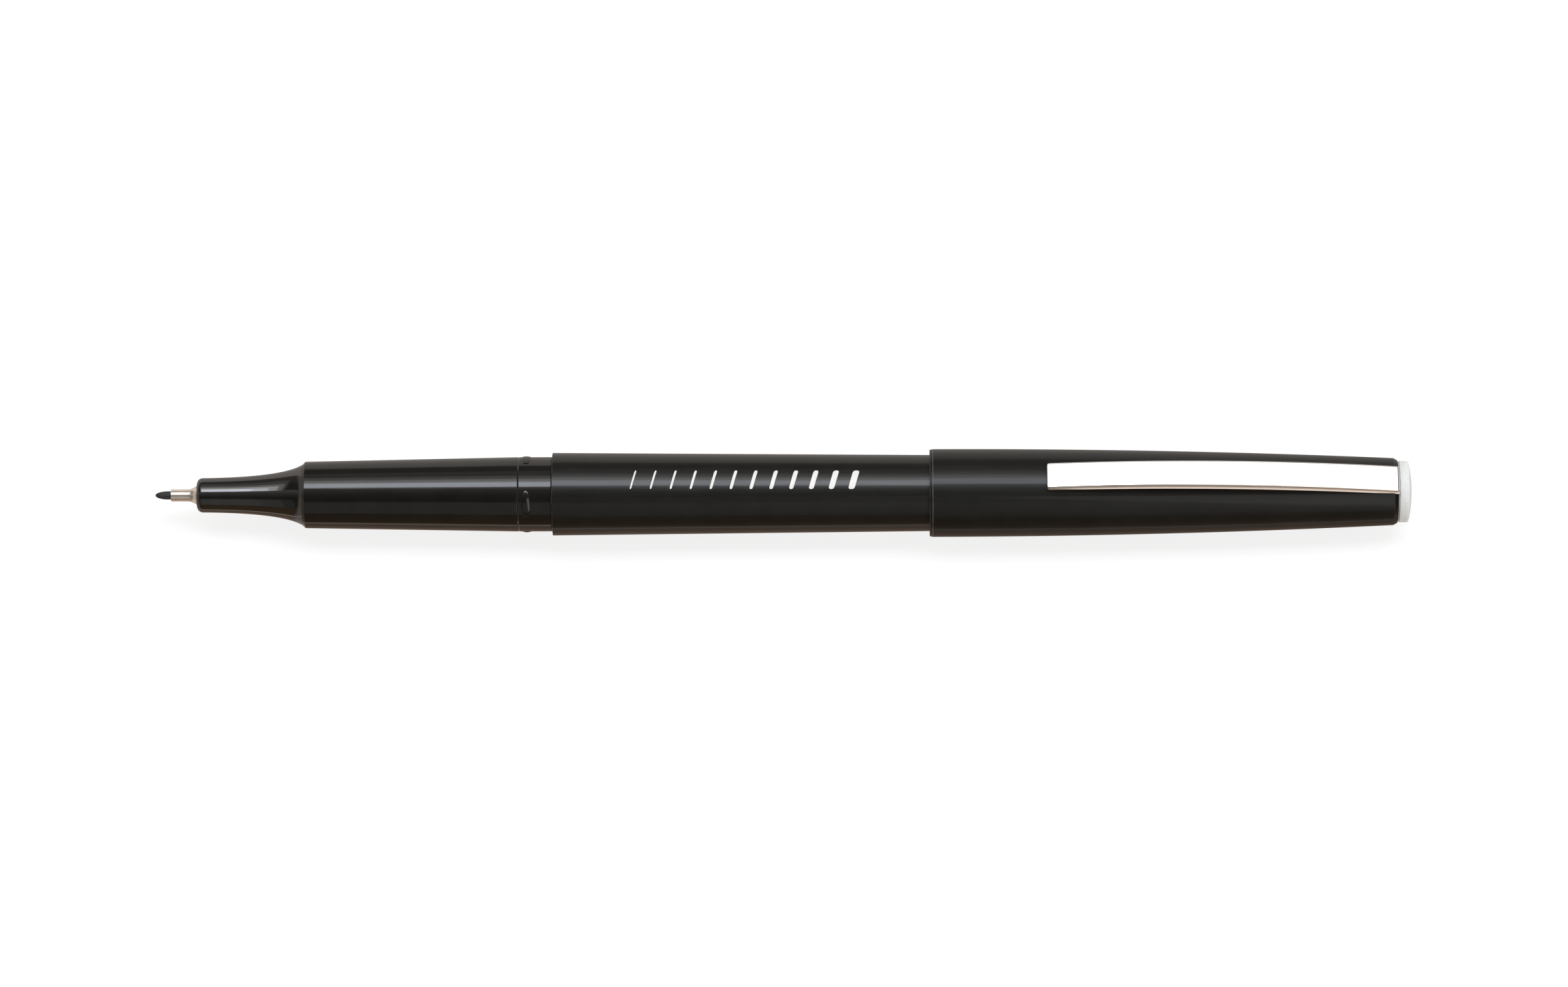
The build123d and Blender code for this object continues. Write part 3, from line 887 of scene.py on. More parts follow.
class StrokeRow(NodeShape):
    """Lays a row of slanted printed strokes, each wider than the last, on a tapered barrel."""

    title = "stroke_row"
    numbers = ("First", "Pitch", "Length", "Thin", "Growth", "Slant", "Film", "Front", "Radius", "Slope")
    counts = ("Count",)
    plate: ClassVar[dict[str, int]] = {"Vertices X": 9, "Vertices Y": 41}
    end_power: ClassVar[float] = 14.0
    end_width: ClassVar[float] = 0.3

    def wire(self) -> Socket:
        """Shape one round-ended stroke, repeat it in a row, and wrap the row round the barrel.

        Returns:
            The row.
        """
        graph, entry = self.graph, self.entry
        position = graph.add("GeometryNodeInputPosition").outputs[0]
        index = graph.add("GeometryNodeInputIndex").outputs[0]
        plate = graph.add("GeometryNodeMeshCube", self.plate).outputs["Mesh"]
        x, y, z = graph.split(position)
        reach = graph.maths("ABSOLUTE", graph.maths("MULTIPLY", y, 2.0))
        end = graph.maths("SQRT", graph.maths("SUBTRACT", 1.0, graph.maths("POWER", reach, self.end_power)))
        narrow = graph.maths("MAXIMUM", end, self.end_width)
        stroke = self.moved(plate, graph.combine(graph.maths("MULTIPLY", x, narrow), y, z))
        feeds = {
            "Count": entry["Count"],
            "Start Location": graph.combine(entry["First"], 0.0, 0.0),
            "Offset": graph.combine(entry["Pitch"], 0.0, 0.0),
        }
        points = graph.add("GeometryNodeMeshLine", feeds).outputs["Mesh"]
        width = graph.maths("MULTIPLY", entry["Thin"], graph.maths("POWER", entry["Growth"], index))
        size = graph.combine(width, entry["Length"], entry["Film"])
        feeds = {"Points": points, "Instance": stroke, "Scale": size}
        row = graph.add("GeometryNodeInstanceOnPoints", feeds).outputs[0]
        flat = graph.add("GeometryNodeRealizeInstances", {0: row}).outputs[0]
        along = graph.maths("MULTIPLY_ADD", y, entry["Slant"], x)
        reach = graph.maths("SUBTRACT", along, entry["Front"])
        skin = graph.maths("SUBTRACT", entry["Radius"], graph.maths("MULTIPLY", reach, entry["Slope"]))
        turn = graph.maths("DIVIDE", graph.maths("MULTIPLY", y, -1.0), skin)
        return self.moved(flat, self.lifted(self.wrapped(along, graph.maths("ADD", skin, z), turn)))


@dataclass
class Workshop:
    """The shared Geometry Nodes trees."""

    lathe: TurnedShell = field(default_factory=TurnedShell)
    lugs: LugRing = field(default_factory=LugRing)
    strokes: StrokeRow = field(default_factory=StrokeRow)


def settle(piece: bpy.types.Object, body: Body, finish: Finish, *nodes: str) -> bpy.types.Object:
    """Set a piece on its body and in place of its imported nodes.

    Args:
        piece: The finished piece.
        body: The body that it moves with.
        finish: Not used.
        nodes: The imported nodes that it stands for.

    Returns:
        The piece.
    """
    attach(piece, body.value)
    if nodes:
        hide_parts(*nodes)
    LOG.info("%s: %d faces on %s", piece.name, len(piece.data.polygons), body.value)
    return piece


def dress(node: str, finish: Finish) -> None:
    """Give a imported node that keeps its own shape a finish.

    Args:
        node: The node's name.
        finish: What it is dressed in.
    """
    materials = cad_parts[node].data.materials
    materials.clear()
    materials.append(finish.material())
    LOG.info("%s: packed shape, dressed as %s", node, finish.name)


@dataclass
class SubAssembly(ABC):
    """A group of pieces that is built and dressed together."""

    shop: Workshop
    segments: int = 192

    @abstractmethod
    def build(self) -> None:
        """Build the pieces, dress them and set them on their bodies."""

    def turned(self, name: str, body: Body, finish: Finish, outline: Outline, node: str) -> None:
        """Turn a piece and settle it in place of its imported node.

        Args:
            name: The piece's name.
            body: The body that it moves with.
            finish: What it is dressed in.
            outline: Its half section.
            node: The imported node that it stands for.
        """
        settle(self.shop.lathe.turn(name, finish, outline, self.segments), body, finish, node)


@dataclass
class NibUnit(SubAssembly):
    """Fibre rod with a bullet point, in a drawn sleeve with a flared foot."""

    rod: Span = span_of("nib")
    sleeve: Span = span_of("nib_sleeve")
    point_length: float = 1.5
    point_steps: int = 28
    rod_edge: float = 0.1
    bore_play: float = 0.02
    tube_wall: float = 0.21
    tube_edge: float = 0.07
    tube_length: float = 1.95
    flare_length: float = 1.2
    flare_steps: int = 20
    segments: int = 128

    def rod_outline(self) -> Outline:
        """Outline of the rod: a quarter ellipse and a straight shank.

        Returns:
            The half section.
        """
        radius = self.rod.radius
        corners = []
        for number in range(self.point_steps + 1):
            turn = math.pi / 2 * number / self.point_steps
            station = self.point_length * (1 - math.cos(turn))
            corners.append(Corner(station, radius * math.sin(turn), flows=True))
        corners += [Corner(self.rod.rear, radius, self.rod_edge), Corner(self.rod.rear, 0.0)]
        return Outline(corners, closed=False)

    def sleeve_outline(self) -> Outline:
        """Outline of the sleeve: a thin tube that flares to its foot.

        Returns:
            The half section.
        """
        bore = self.rod.radius + self.bore_play
        tube = bore + self.tube_wall
        start = Corner(self.sleeve.front + self.tube_length, tube)
        end = Corner(start.station + self.flare_length, self.sleeve.radius)
        rise = end.radius - start.radius
        pull = (self.flare_length**2 + rise**2) / (2 * self.flare_length)
        flare = bend(start, (start.station + pull, tube), end, self.flare_steps)
        corners = [
            Corner(self.sleeve.rear, bore),
            Corner(self.sleeve.front, bore, self.tube_edge),
            Corner(self.sleeve.front, tube, self.tube_edge),
            *flare,
            Corner(self.sleeve.rear, self.sleeve.radius, self.tube_edge),
        ]
        return Outline(corners)

    def build(self) -> None:
        """Turn the rod and the sleeve."""
        self.turned("nib_rod", Body.PEN, NIB_FIBRE, self.rod_outline(), "nib")
        self.turned("nib_tube", Body.PEN, NICKEL_SLEEVE, self.sleeve_outline(), "nib_sleeve")


@dataclass
class NoseUnit(SubAssembly):
    """Waisted nose with a round front edge and a cored spigot."""

    span: Span = span_of("nose_section")
    grip: Span = span_of("grip_barrel")
    sleeve: Span = span_of("nib_sleeve")
    sleeve_play: float = 0.02
    nose_radius: float = 2.09
    front_edge: float = 0.83
    front_steps: int = 16
    straight_length: float = 1.2
    flare_pull: Pair = (0.8, 0.086)
    flare_steps: int = 48
    spigot_radius: float = 3.43
    cup_radius: float = 2.33
    cup_depth: float = 6.0
    guide_radius: float = 0.55

    def outline(self) -> Outline:
        """Outline of the nose, its spigot and the stepped bore.

        Returns:
            The half section.
        """
        front, rear = self.span.front, self.span.rear
        seam = self.grip.front
        bore = self.sleeve.radius + self.sleeve_play
        face = Corner(front, self.nose_radius - self.front_edge)
        side = Corner(front + self.front_edge, self.nose_radius)
        edge = bend(face, (front, self.nose_radius), side, self.front_steps)
        start = Corner(front + self.straight_length, self.nose_radius)
        end = Corner(seam, self.span.radius)
        along, rise = self.flare_pull
        pull = (
            start.station + along * (end.station - start.station),
            start.radius + rise * (end.radius - start.radius),
        )
        corners = [
            Corner(self.sleeve.rear, bore),
            Corner(front, bore),
            *edge,
            *bend(start, pull, end, self.flare_steps),
            Corner(seam, self.spigot_radius),
            Corner(rear, self.spigot_radius),
            Corner(rear, self.cup_radius),
            Corner(rear - self.cup_depth, self.cup_radius),
            Corner(rear - self.cup_depth, self.guide_radius),
            Corner(self.sleeve.rear, self.guide_radius),
        ]
        return Outline(corners)

    def build(self) -> None:
        """Turn the nose."""
        self.turned("nose_shell", Body.PEN, GLOSS_NOSE, self.outline(), "nose_section")


@dataclass
class GripUnit(SubAssembly):
    """Front barrel with a chamfered front, a fine groove, the cap's collar and its lugs."""

    span: Span = span_of("grip_barrel")
    nose: Span = span_of("nose_section")
    barrel: Span = span_of("barrel")
    bore: float = 3.45
    chamfer: float = 0.33
    seam_edge: float = 0.1
    collar_radius: float = 4.5
    collar_length: float = 4.1
    groove_width: float = 0.2
    groove_depth: float = 0.06
    # How pale the chamfer, groove and collar edges are painted: partly rubbed, partly a painted edge
    # highlight.
    groove_rub_and_glint: float = 0.1
    rear_chamfer: float = 0.1
    spigot_radius: float = 4.17
    edge: float = 0.05
    lug_count: int = 4
    lug_setback: float = 0.95
    lug_length: float = 1.2
    lug_height: float = 0.14
    lug_arc_degrees: float = 44.0
    lug_turn_degrees: float = 37.0

    def outline(self) -> Outline:
        """Outline of the grip, the groove, the collar and the spigot.

        Returns:
            The half section.
        """
        front, step = self.span.front, self.barrel.front
        groove = step - self.collar_length
        collar = self.collar_radius
        corners = [
            Corner(front, self.bore),
            Corner(front, self.nose.radius, self.seam_edge),
            Corner(front + self.chamfer, self.nose.radius + self.chamfer, self.edge, self.groove_rub_and_glint),
            Corner(groove - self.groove_width / 2, collar, self.edge / 2, self.groove_rub_and_glint),
            Corner(groove, collar - self.groove_depth),
            Corner(groove + self.groove_width / 2, collar, self.edge / 2, self.groove_rub_and_glint),
            Corner(step - self.rear_chamfer, collar, self.edge, self.groove_rub_and_glint),
            Corner(step, collar - self.rear_chamfer, self.edge, self.groove_rub_and_glint),
            Corner(step, self.spigot_radius),
            Corner(self.span.rear, self.spigot_radius),
            Corner(self.span.rear, self.bore),
        ]
        return Outline(corners)

    def build(self) -> None:
        """Turn the grip, and set the lugs round its collar."""
        self.turned("grip_shell", Body.PEN, GLOSS_GRIP, self.outline(), "grip_barrel")
        station = self.barrel.front - self.collar_length + self.lug_setback
        lugs = self.shop.lugs.make(
            "collar_lugs",
            GLOSS_GRIP,
            Station=AXIS.along(station),
            Radius=self.collar_radius * MM,
            Length=self.lug_length * MM,
            Arc=math.radians(self.lug_arc_degrees),
            Height=self.lug_height * MM,
            First_Turn=math.radians(self.lug_turn_degrees),
            Count=self.lug_count,
        )
        settle(lugs, Body.PEN, GLOSS_GRIP)


@dataclass
class BarrelUnit(SubAssembly):
    """Main barrel behind the step, a row of printed strokes on it, and the stopper in its tail."""

    span: Span = span_of("barrel")
    grip: Span = span_of("grip_barrel")
    cap: Span = span_of("cap_shell")
    stopper: Span = span_of("tail_plug")
    bore: float = 3.45
    socket_radius: float = 4.19
    socket_gap: float = 0.3
    lip_radius: float = 4.61
    land_length: float = 4.0
    shoulder: float = 0.085
    tail_radius: float = 4.14
    tail_edge: float = 0.4
    front_edge: float = 0.06
    stopper_radius: float = 3.43
    stopper_core: float = 2.53
    stopper_edge: float = 0.28
    stroke_count: int = 12
    stroke_middle: float = 71.3
    stroke_pitch: float = 2.42
    stroke_length: float = 2.4
    stroke_thin: float = 0.2
    stroke_growth: float = 1.13
    stroke_slant: float = 0.27
    stroke_film: float = 0.03

    def slope(self) -> float:
        """Give how much the radius falls for each millimetre behind the step."""
        return (self.span.radius - self.lip_radius) / (self.cap.front - self.span.front)

    def outline(self) -> Outline:
        """Outline of the taper, the shoulder inside the cap, the tail and the bore.

        Returns:
            The half section.
        """
        front, rear = self.span.front, self.span.rear
        land = self.cap.front + self.land_length
        land_radius = self.span.radius - self.slope() * (land - front)
        socket = self.grip.rear + self.socket_gap
        corners = [
            Corner(rear, self.bore),
            Corner(socket, self.bore),
            Corner(socket, self.socket_radius),
            Corner(front, self.socket_radius),
            Corner(front, self.span.radius, self.front_edge),
            Corner(land, land_radius, self.front_edge / 2),
            Corner(land + self.shoulder, land_radius - self.shoulder, self.front_edge / 2),
            Corner(rear, self.tail_radius, self.tail_edge),
        ]
        return Outline(corners)

    def stopper_outline(self) -> Outline:
        """Outline of the cored stopper and its flange.

        Returns:
            The half section.
        """
        front, rear, seat = self.stopper.front, self.stopper.rear, self.span.rear
        corners = [
            Corner(rear, 0.0),
            Corner(rear, self.stopper.radius, self.stopper_edge),
            Corner(seat, self.stopper.radius, self.front_edge),
            Corner(seat, self.stopper_radius),
            Corner(front, self.stopper_radius),
            Corner(front, self.stopper_core),
            Corner(seat, self.stopper_core),
            Corner(seat, 0.0),
        ]
        return Outline(corners, closed=False)

    def build(self) -> None:
        """Turn the barrel and the stopper, and print the strokes."""
        self.turned("barrel_shell", Body.PEN, GLOSS_BARREL, self.outline(), "barrel")
        self.turned("tail_stopper", Body.PEN, GLOSS_NOSE, self.stopper_outline(), "tail_plug")
        first = self.stroke_middle - self.stroke_pitch * (self.stroke_count - 1) / 2
        strokes = self.shop.strokes.make(
            "barrel_strokes",
            PRINT_INK,
            First=AXIS.along(first),
            Pitch=self.stroke_pitch * MM,
            Length=self.stroke_length * MM,
            Thin=self.stroke_thin * MM,
            Growth=self.stroke_growth,
            Slant=self.stroke_slant,
            Film=self.stroke_film * MM,
            Front=AXIS.along(self.span.front),
            Radius=self.span.radius * MM,
            Slope=self.slope(),
            Count=self.stroke_count,
        )
        settle(strokes, Body.PEN, PRINT_INK)


@dataclass
class InkStore(SubAssembly):
    """Fibre wad and its film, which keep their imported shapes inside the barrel."""

    def build(self) -> None:
        """Dress the wad and the film."""
        dress("ink_reservoir", WAD_FIBRE)
        dress("reservoir_film", CLEAR_FILM)


@dataclass
class CapUnit(SubAssembly):
    """Cap with a banded lip and a curved taper, its end plug and the seal inside."""

    span: Span = span_of("cap_shell")
    seal: Span = span_of("inner_cap")
    plug: Span = span_of("cap_plug")
    lip_band: float = 0.38
    lip_bevel: float = 0.09
    straight_length: float = 1.0
    curve_steps: int = 72
    end_radius: float = 4.06
    end_chamfer: float = 0.5
    end_face_radius: float = 3.78
    # How pale the cap's end edges are painted: partly rubbed, partly a painted edge highlight.
    end_rub_and_glint: float = 0.15
    ring_seat_radius: float = 3.36
    ring_depth: float = 0.3
    plug_bore: float = 2.92
    seal_play: float = 0.02
    seal_lead: float = 0.4
    cone_radii: Pair = (4.551, 4.105)
    land_length: float = 4.5
    land_radius: float = 4.64
    mouth_chamfer: float = 0.15
    snap_depth: float = 3.15
    snap_half_length: float = 0.5
    snap_rise: float = 0.15
    snap_steps: int = 12
    edge: float = 0.05
    notch_width: float = 2.94
    plug_neck: float = 0.16
    plug_neck_radius: float = 3.5
    plug_rim: float = 151.58
    plug_spigot: float = 2.9
    plug_core: float = 2.0
    plug_spigot_length: float = 5.4
    plug_edge: float = 0.3
    plug_seat_edge: float = 0.08
    dome_steps: int = 28
    dome_trim: int = 4

    def outline(self) -> Outline:
        """Outline of the lip, the long curve, the end and the stepped bore.

        Returns:
            The half section.
        """
        lip, end = self.span.front, self.span.rear
        radius = self.span.radius
        start = Corner(lip + self.straight_length, radius)
        finish = Corner(end - self.end_chamfer, self.end_radius)
        middle = (start.station + finish.station) / 2
        curve = bend(start, (middle, radius), finish, self.curve_steps)
        snap = lip + self.snap_depth
        groove = bend(
            Corner(snap + self.snap_half_length, self.land_radius),
            (snap, self.land_radius + 2 * self.snap_rise),
            Corner(snap - self.snap_half_length, self.land_radius),
            self.snap_steps,
        )
        seal_radius = self.seal.radius + self.seal_play
        cone_rear = self.seal.front - self.seal_lead
        corners = [
            Corner(lip, radius - self.lip_bevel, self.edge),
            Corner(lip + self.lip_band, radius, self.edge),
            *curve[:-1],
            Corner(finish.station, finish.radius, self.edge, self.end_rub_and_glint),
            Corner(end, self.end_face_radius, self.edge, self.end_rub_and_glint),
            Corner(end, self.ring_seat_radius),
            Corner(end - self.ring_depth, self.ring_seat_radius),
            Corner(end - self.ring_depth, self.plug_bore),
            Corner(self.seal.rear, self.plug_bore),
            Corner(self.seal.rear, seal_radius),
            Corner(cone_rear, seal_radius),
            Corner(cone_rear, self.cone_radii[1]),
            Corner(lip + self.land_length, self.cone_radii[0]),
            Corner(lip + self.land_length, self.land_radius),
            *groove,
            Corner(lip + self.mouth_chamfer, self.land_radius, self.edge),
            Corner(lip, self.land_radius + self.mouth_chamfer, self.edge),
        ]
        return Outline(corners)

    def plug_outline(self) -> Outline:
        """Outline of the plug: a domed head, a narrow neck and a cored spigot.

        Returns:
            The half section.
        """
        end = self.span.rear
        head = Corner(end + self.plug_neck, self.plug.radius)
        rim = Corner(self.plug_rim, self.plug.radius)
        dome_rise = self.plug.rear - self.plug_rim
        pull = (self.plug.radius**2 + dome_rise**2) / (2 * self.plug.radius)
        top = Corner(self.plug.rear, 0.0)
        dome = bend(top, (top.station, pull), rim, self.dome_steps)
        corners = [
            *dome[: -self.dome_trim],
            Corner(rim.station, rim.radius, self.plug_edge),
            Corner(head.station, head.radius, self.plug_seat_edge),
            Corner(head.station, self.plug_neck_radius),
            Corner(end, self.plug_neck_radius),
            Corner(end, self.plug_spigot),
            Corner(end - self.plug_spigot_length, self.plug_spigot),
            Corner(end - self.plug_spigot_length, self.plug_core),
            Corner(end, self.plug_core),
            Corner(end, 0.0),
        ]
        return Outline(corners, closed=False)

    def notched(self, cap: bpy.types.Object) -> bpy.types.Object:
        """Cut the notch for the clip's tab in the end of the cap.

        Args:
            cap: The turned cap.

        Returns:
            The same cap.
        """
        low = AXIS.point(self.span.rear - self.ring_depth, -self.notch_width / 2, self.plug_bore)
        high = AXIS.point(self.span.rear + self.ring_depth, self.notch_width / 2, self.span.radius)
        block = bmesh.new()
        add_box(block, low, high)
        mesh = bpy.data.meshes.new("notch")
        block.to_mesh(mesh)
        block.free()
        cutter = new_piece("notch", mesh)
        cut = cap.modifiers.new("notch", "BOOLEAN")
        cut.operation = "DIFFERENCE"
        cut.solver = "EXACT"
        cut.object = cutter
        flatten(cap)
        bpy.data.objects.remove(cutter)
        return cap

    def build(self) -> None:
        """Turn the cap and the plug, and dress the seal."""
        cap = self.shop.lathe.turn("cap_turned", SATIN_CAP, self.outline(), self.segments)
        settle(self.notched(cap), Body.CAP, SATIN_CAP, "cap_shell")
        self.turned("cap_end_plug", Body.CAP, PALE_PLUG, self.plug_outline(), "cap_plug")
        dress("inner_cap", PLAIN_SEAL)


@dataclass(frozen=True)
class Section:
    """One cross section of the clip's strip.

    Station and up place the middle of its top, half_width is that of its top, and depth is how far its sides
    reach down.
    """

    station: float
    up: float
    half_width: float
    depth: float


@dataclass
class ClipUnit(SubAssembly):
    """Folded strip on one bow with splayed sides, bent into a tab and a ring under the plug."""

    span: Span = span_of("clip")
    cap: Span = span_of("cap_shell")
    ring: Span = span_of("clip_ring")
    sheet: float = 0.3
    front_up: float = 5.814
    rear_up: float = 4.488
    bow: float = 1.34
    half_width: float = 1.58
    splay: float = 0.22
    front_depth: float = 0.55
    rear_depth: float = 0.72
    crown_swell: float = 0.17
    fold: float = 0.16
    fold_steps: int = 6
    inner_drop: float = 1.02
    corner_round: float = 0.3
    front_round: float = 0.12
    rear_round: float = 0.28
    rear_reach: float = 0.06
    end_steps: int = 8
    strip_steps: int = 64
    tab_half_width: float = 1.45
    bend_radius: float = 0.4
    ring_bore: float = 2.92
    ring_segments: int = 96
    flex_length: float = 6.0

    def strip(self, station: float, inset: float = 0.0, drop: float = 0.0) -> Section:
        """Give the section of the bowed strip at a station.

        Args:
            station: Where the section is.
            inset: How much narrower it is on each side.
            drop: How much lower its top is.

        Returns:
            The section.
        """
        t = (station - self.span.front) / (self.span.rear - self.span.front)
        up = self.front_up * (1 - t) + self.rear_up * t + 4 * self.bow * t * (1 - t)
        depth = self.front_depth * (1 - t) + self.rear_depth * t + 4 * self.crown_swell * t * (1 - t)
        return Section(station, up - drop, self.half_width - inset, depth - drop)

    def sections(self) -> list[Section]:
        """Give the sections from the free end over the bow to the round end above the tab.

        Returns:
            The sections, in order.
        """
        front = self.span.front
        rear = self.cap.rear + self.rear_reach
        made = []
        for number in range(self.end_steps):
            reach = self.corner_round * (1 - math.cos(math.pi / 2 * number / self.end_steps))
            inset = self.corner_round - math.sqrt(self.corner_round**2 - (self.corner_round - reach) ** 2)
            edge = max(self.front_round - reach, 0.0)
            drop = self.front_round - math.sqrt(self.front_round**2 - edge**2)
            made.append(self.strip(front + reach, inset, drop))
        start, stop = front + self.corner_round, rear - self.rear_round
        for number in range(self.strip_steps):
            made.append(self.strip(start + (stop - start) * number / self.strip_steps))
        for number in range(self.end_steps + 1):
            turn = math.pi / 2 * number / self.end_steps
            station = stop + self.rear_round * math.sin(turn)
            made.append(self.strip(station, drop=self.rear_round * (1 - math.cos(turn))))
        return made

    def loop(self, section: Section) -> list[tuple[float, float, float]]:
        """Give the outline of one section.

        Args:
            section: The section.

        Returns:
            Distance across, depth below the top and share of edge colour of each point, round the strip.
        """
        wide, depth, sheet, splay = section.half_width, section.depth, self.sheet, self.splay
        fold = min(self.fold, depth / 2)
        half = [(0.0, 0.0, 0.0), (wide / 2, 0.0, 0.0)]
        for number in range(self.fold_steps + 1):
            t = number / self.fold_steps
            across = wide - fold * (1 - t) ** 2 + splay * fold * t**2
            half.append((across, fold * t**2, math.sin(math.pi * t) / 2))
        half += [
            (wide + splay * depth, depth, 1.0),
            (wide + splay * depth - sheet, depth, 1.0),
            (wide + splay * sheet - sheet, min(sheet * self.inner_drop, depth), 0.0),
            (wide / 2, sheet, 0.0),
            (0.0, sheet, 0.0),
        ]
        return half + [(-across, deep, wear_and_glint) for across, deep, wear_and_glint in reversed(half[1:-1])]

    def mesh(self) -> bpy.types.Mesh:
        """Join the sections into a closed strip, and add the tab and the ring.

        Returns:
            The mesh of the pressing.
        """
        shape = bmesh.new()
        wear_and_glint_layer = shape.verts.layers.float.new(WEAR_AND_GLINT)
        rows = []
        for section in self.sections():
            row = []
            for across, deep, wear_and_glint in self.loop(section):
                vertex = shape.verts.new(AXIS.point(section.station, across, section.up - deep))
                vertex[wear_and_glint_layer] = wear_and_glint
                row.append(vertex)
            rows.append(row)
        bridge(shape, rows)
        shape.faces.new(rows[0])
        shape.faces.new(rows[-1])
        self.add_tab(shape)
        self.add_ring(shape)
        bmesh.ops.recalc_face_normals(shape, faces=shape.faces)
        made = bpy.data.meshes.new("clip_pressing")
        shape.to_mesh(made)
        shape.free()
        return made

    def add_tab(self, shape: bmesh.types.BMesh) -> None:
        """Add the upright tab that joins the strip to the ring.

        Args:
            shape: The mesh that it goes into.
        """
        foot = (self.ring_bore + self.ring.radius) / 2
        low = AXIS.point(self.cap.rear - self.sheet, -self.tab_half_width, foot)
        high = AXIS.point(self.cap.rear, self.tab_half_width, self.rear_up - self.sheet)
        add_box(shape, low, high)

    def add_ring(self, shape: bmesh.types.BMesh) -> None:
        """Add the flat ring that the plug clamps.

        Args:
            shape: The mesh that it goes into.
        """
        rear = self.cap.rear
        corners = [
            (rear - self.sheet, self.ring_bore),
            (rear - self.sheet, self.ring.radius),
            (rear, self.ring.radius),
            (rear, self.ring_bore),
        ]
        rings = []
        for number in range(self.ring_segments):
            turn = math.tau * number / self.ring_segments
            across, up = math.sin(turn), math.cos(turn)
            rings.append([shape.verts.new(AXIS.point(s, r * across, r * up)) for s, r in corners])
        bridge(shape, rings + rings[:1])

    def build(self) -> None:
        """Build the pressing and put it in place of the imported clip and its ring."""
        piece = new_piece("clip_pressing", self.mesh())
        piece.data.materials.append(CLIP_STEEL.material())
        flatten(piece)
        root = AXIS.point(self.cap.rear - self.bend_radius, 0.0, self.rear_up)
        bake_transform(piece)
        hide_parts("clip", "clip_ring")
        LOG.info("%s: %d faces, from cap to clip", piece.name, len(piece.data.polygons))


@dataclass(frozen=True)
class SoftBox:
    """A soft sheet of light, seen from the pen between two elevations.

    Elevations are degrees from the horizon, up and over the pen, on the side that the azimuth gives: 0 for
    the front and 90 for the right. Distance, length and shift are metres, and shift moves the sheet along the
    pen. Radiance is the brightness of the sheet, where a lit white surface is about one. A sheet that is not
    in gloss lights the pen but isn't mirrored in it.
    """

    name: str
    elevations: Pair
    distance: float
    length: float
    radiance: float
    colour: Colour
    azimuth: float = 0.0
    in_gloss: bool = True
    shift: float = 0.0

    def build(self, target: Vector) -> None:
        """Hang the light and turn it towards the pen.

        Args:
            target: The middle of the pen.
        """
        low, high = (math.radians(angle) for angle in self.elevations)
        middle = (low + high) / 2
        width = 2 * self.distance * math.tan((high - low) / 2)
        lamp = bpy.data.lights.new(self.name, "AREA")
        lamp.shape = "RECTANGLE"
        lamp.size = self.length
        lamp.size_y = width
        lamp.energy = math.pi * self.length * width * self.radiance
        lamp.color = self.colour
        holder = bpy.data.objects.new(self.name, lamp)
        side = math.radians(self.azimuth)
        reach = math.cos(middle)
        away = Vector((reach * math.sin(side), -reach * math.cos(side), math.sin(middle)))
        holder.location = target + away * self.distance + Vector((self.shift, 0.0, 0.0))
        holder.rotation_euler = (-away).to_track_quat("-Z", "Y").to_euler()
        holder.visible_camera = False
        holder.visible_glossy = self.in_gloss
        bpy.context.scene.collection.objects.link(holder)


@dataclass(frozen=True)
class Glow:
    """How bright the surroundings look in gloss at one elevation, from the front horizon over the top."""

    elevation: float
    level: float
    colour: Colour

    def stop(self) -> tuple[float, Colour]:
        """Give the place and the colour of this glow on a ramp round the pen."""
        red, green, blue = (self.level * part for part in self.colour)
        return (self.elevation + 180.0) / 360.0, (red, green, blue)


WARM_CARD: Colour = (1.0, 0.72, 0.55)
BROWN_CARD: Colour = (1.0, 0.60, 0.33)
PALE_CARD: Colour = (1.0, 0.84, 0.73)
PALE_SWEEP: Colour = (1.0, 0.93, 0.87)
NO_WALL: Colour = (0.0, 0.0, 0.0)
PALE_WALL: Colour = (0.56, 0.49, 0.45)
DIM_WALL: Colour = (0.20, 0.18, 0.17)
COOL_LIGHT: Colour = (0.78, 0.86, 1.0)
PLAIN_LIGHT: Colour = (1.0, 0.98, 0.97)
WARM_LIGHT: Colour = (1.0, 0.98, 0.96)
CREAM_LIGHT: Colour = (1.0, 0.99, 0.92)
FILL_LIGHT: Colour = (1.0, 0.99, 0.94)


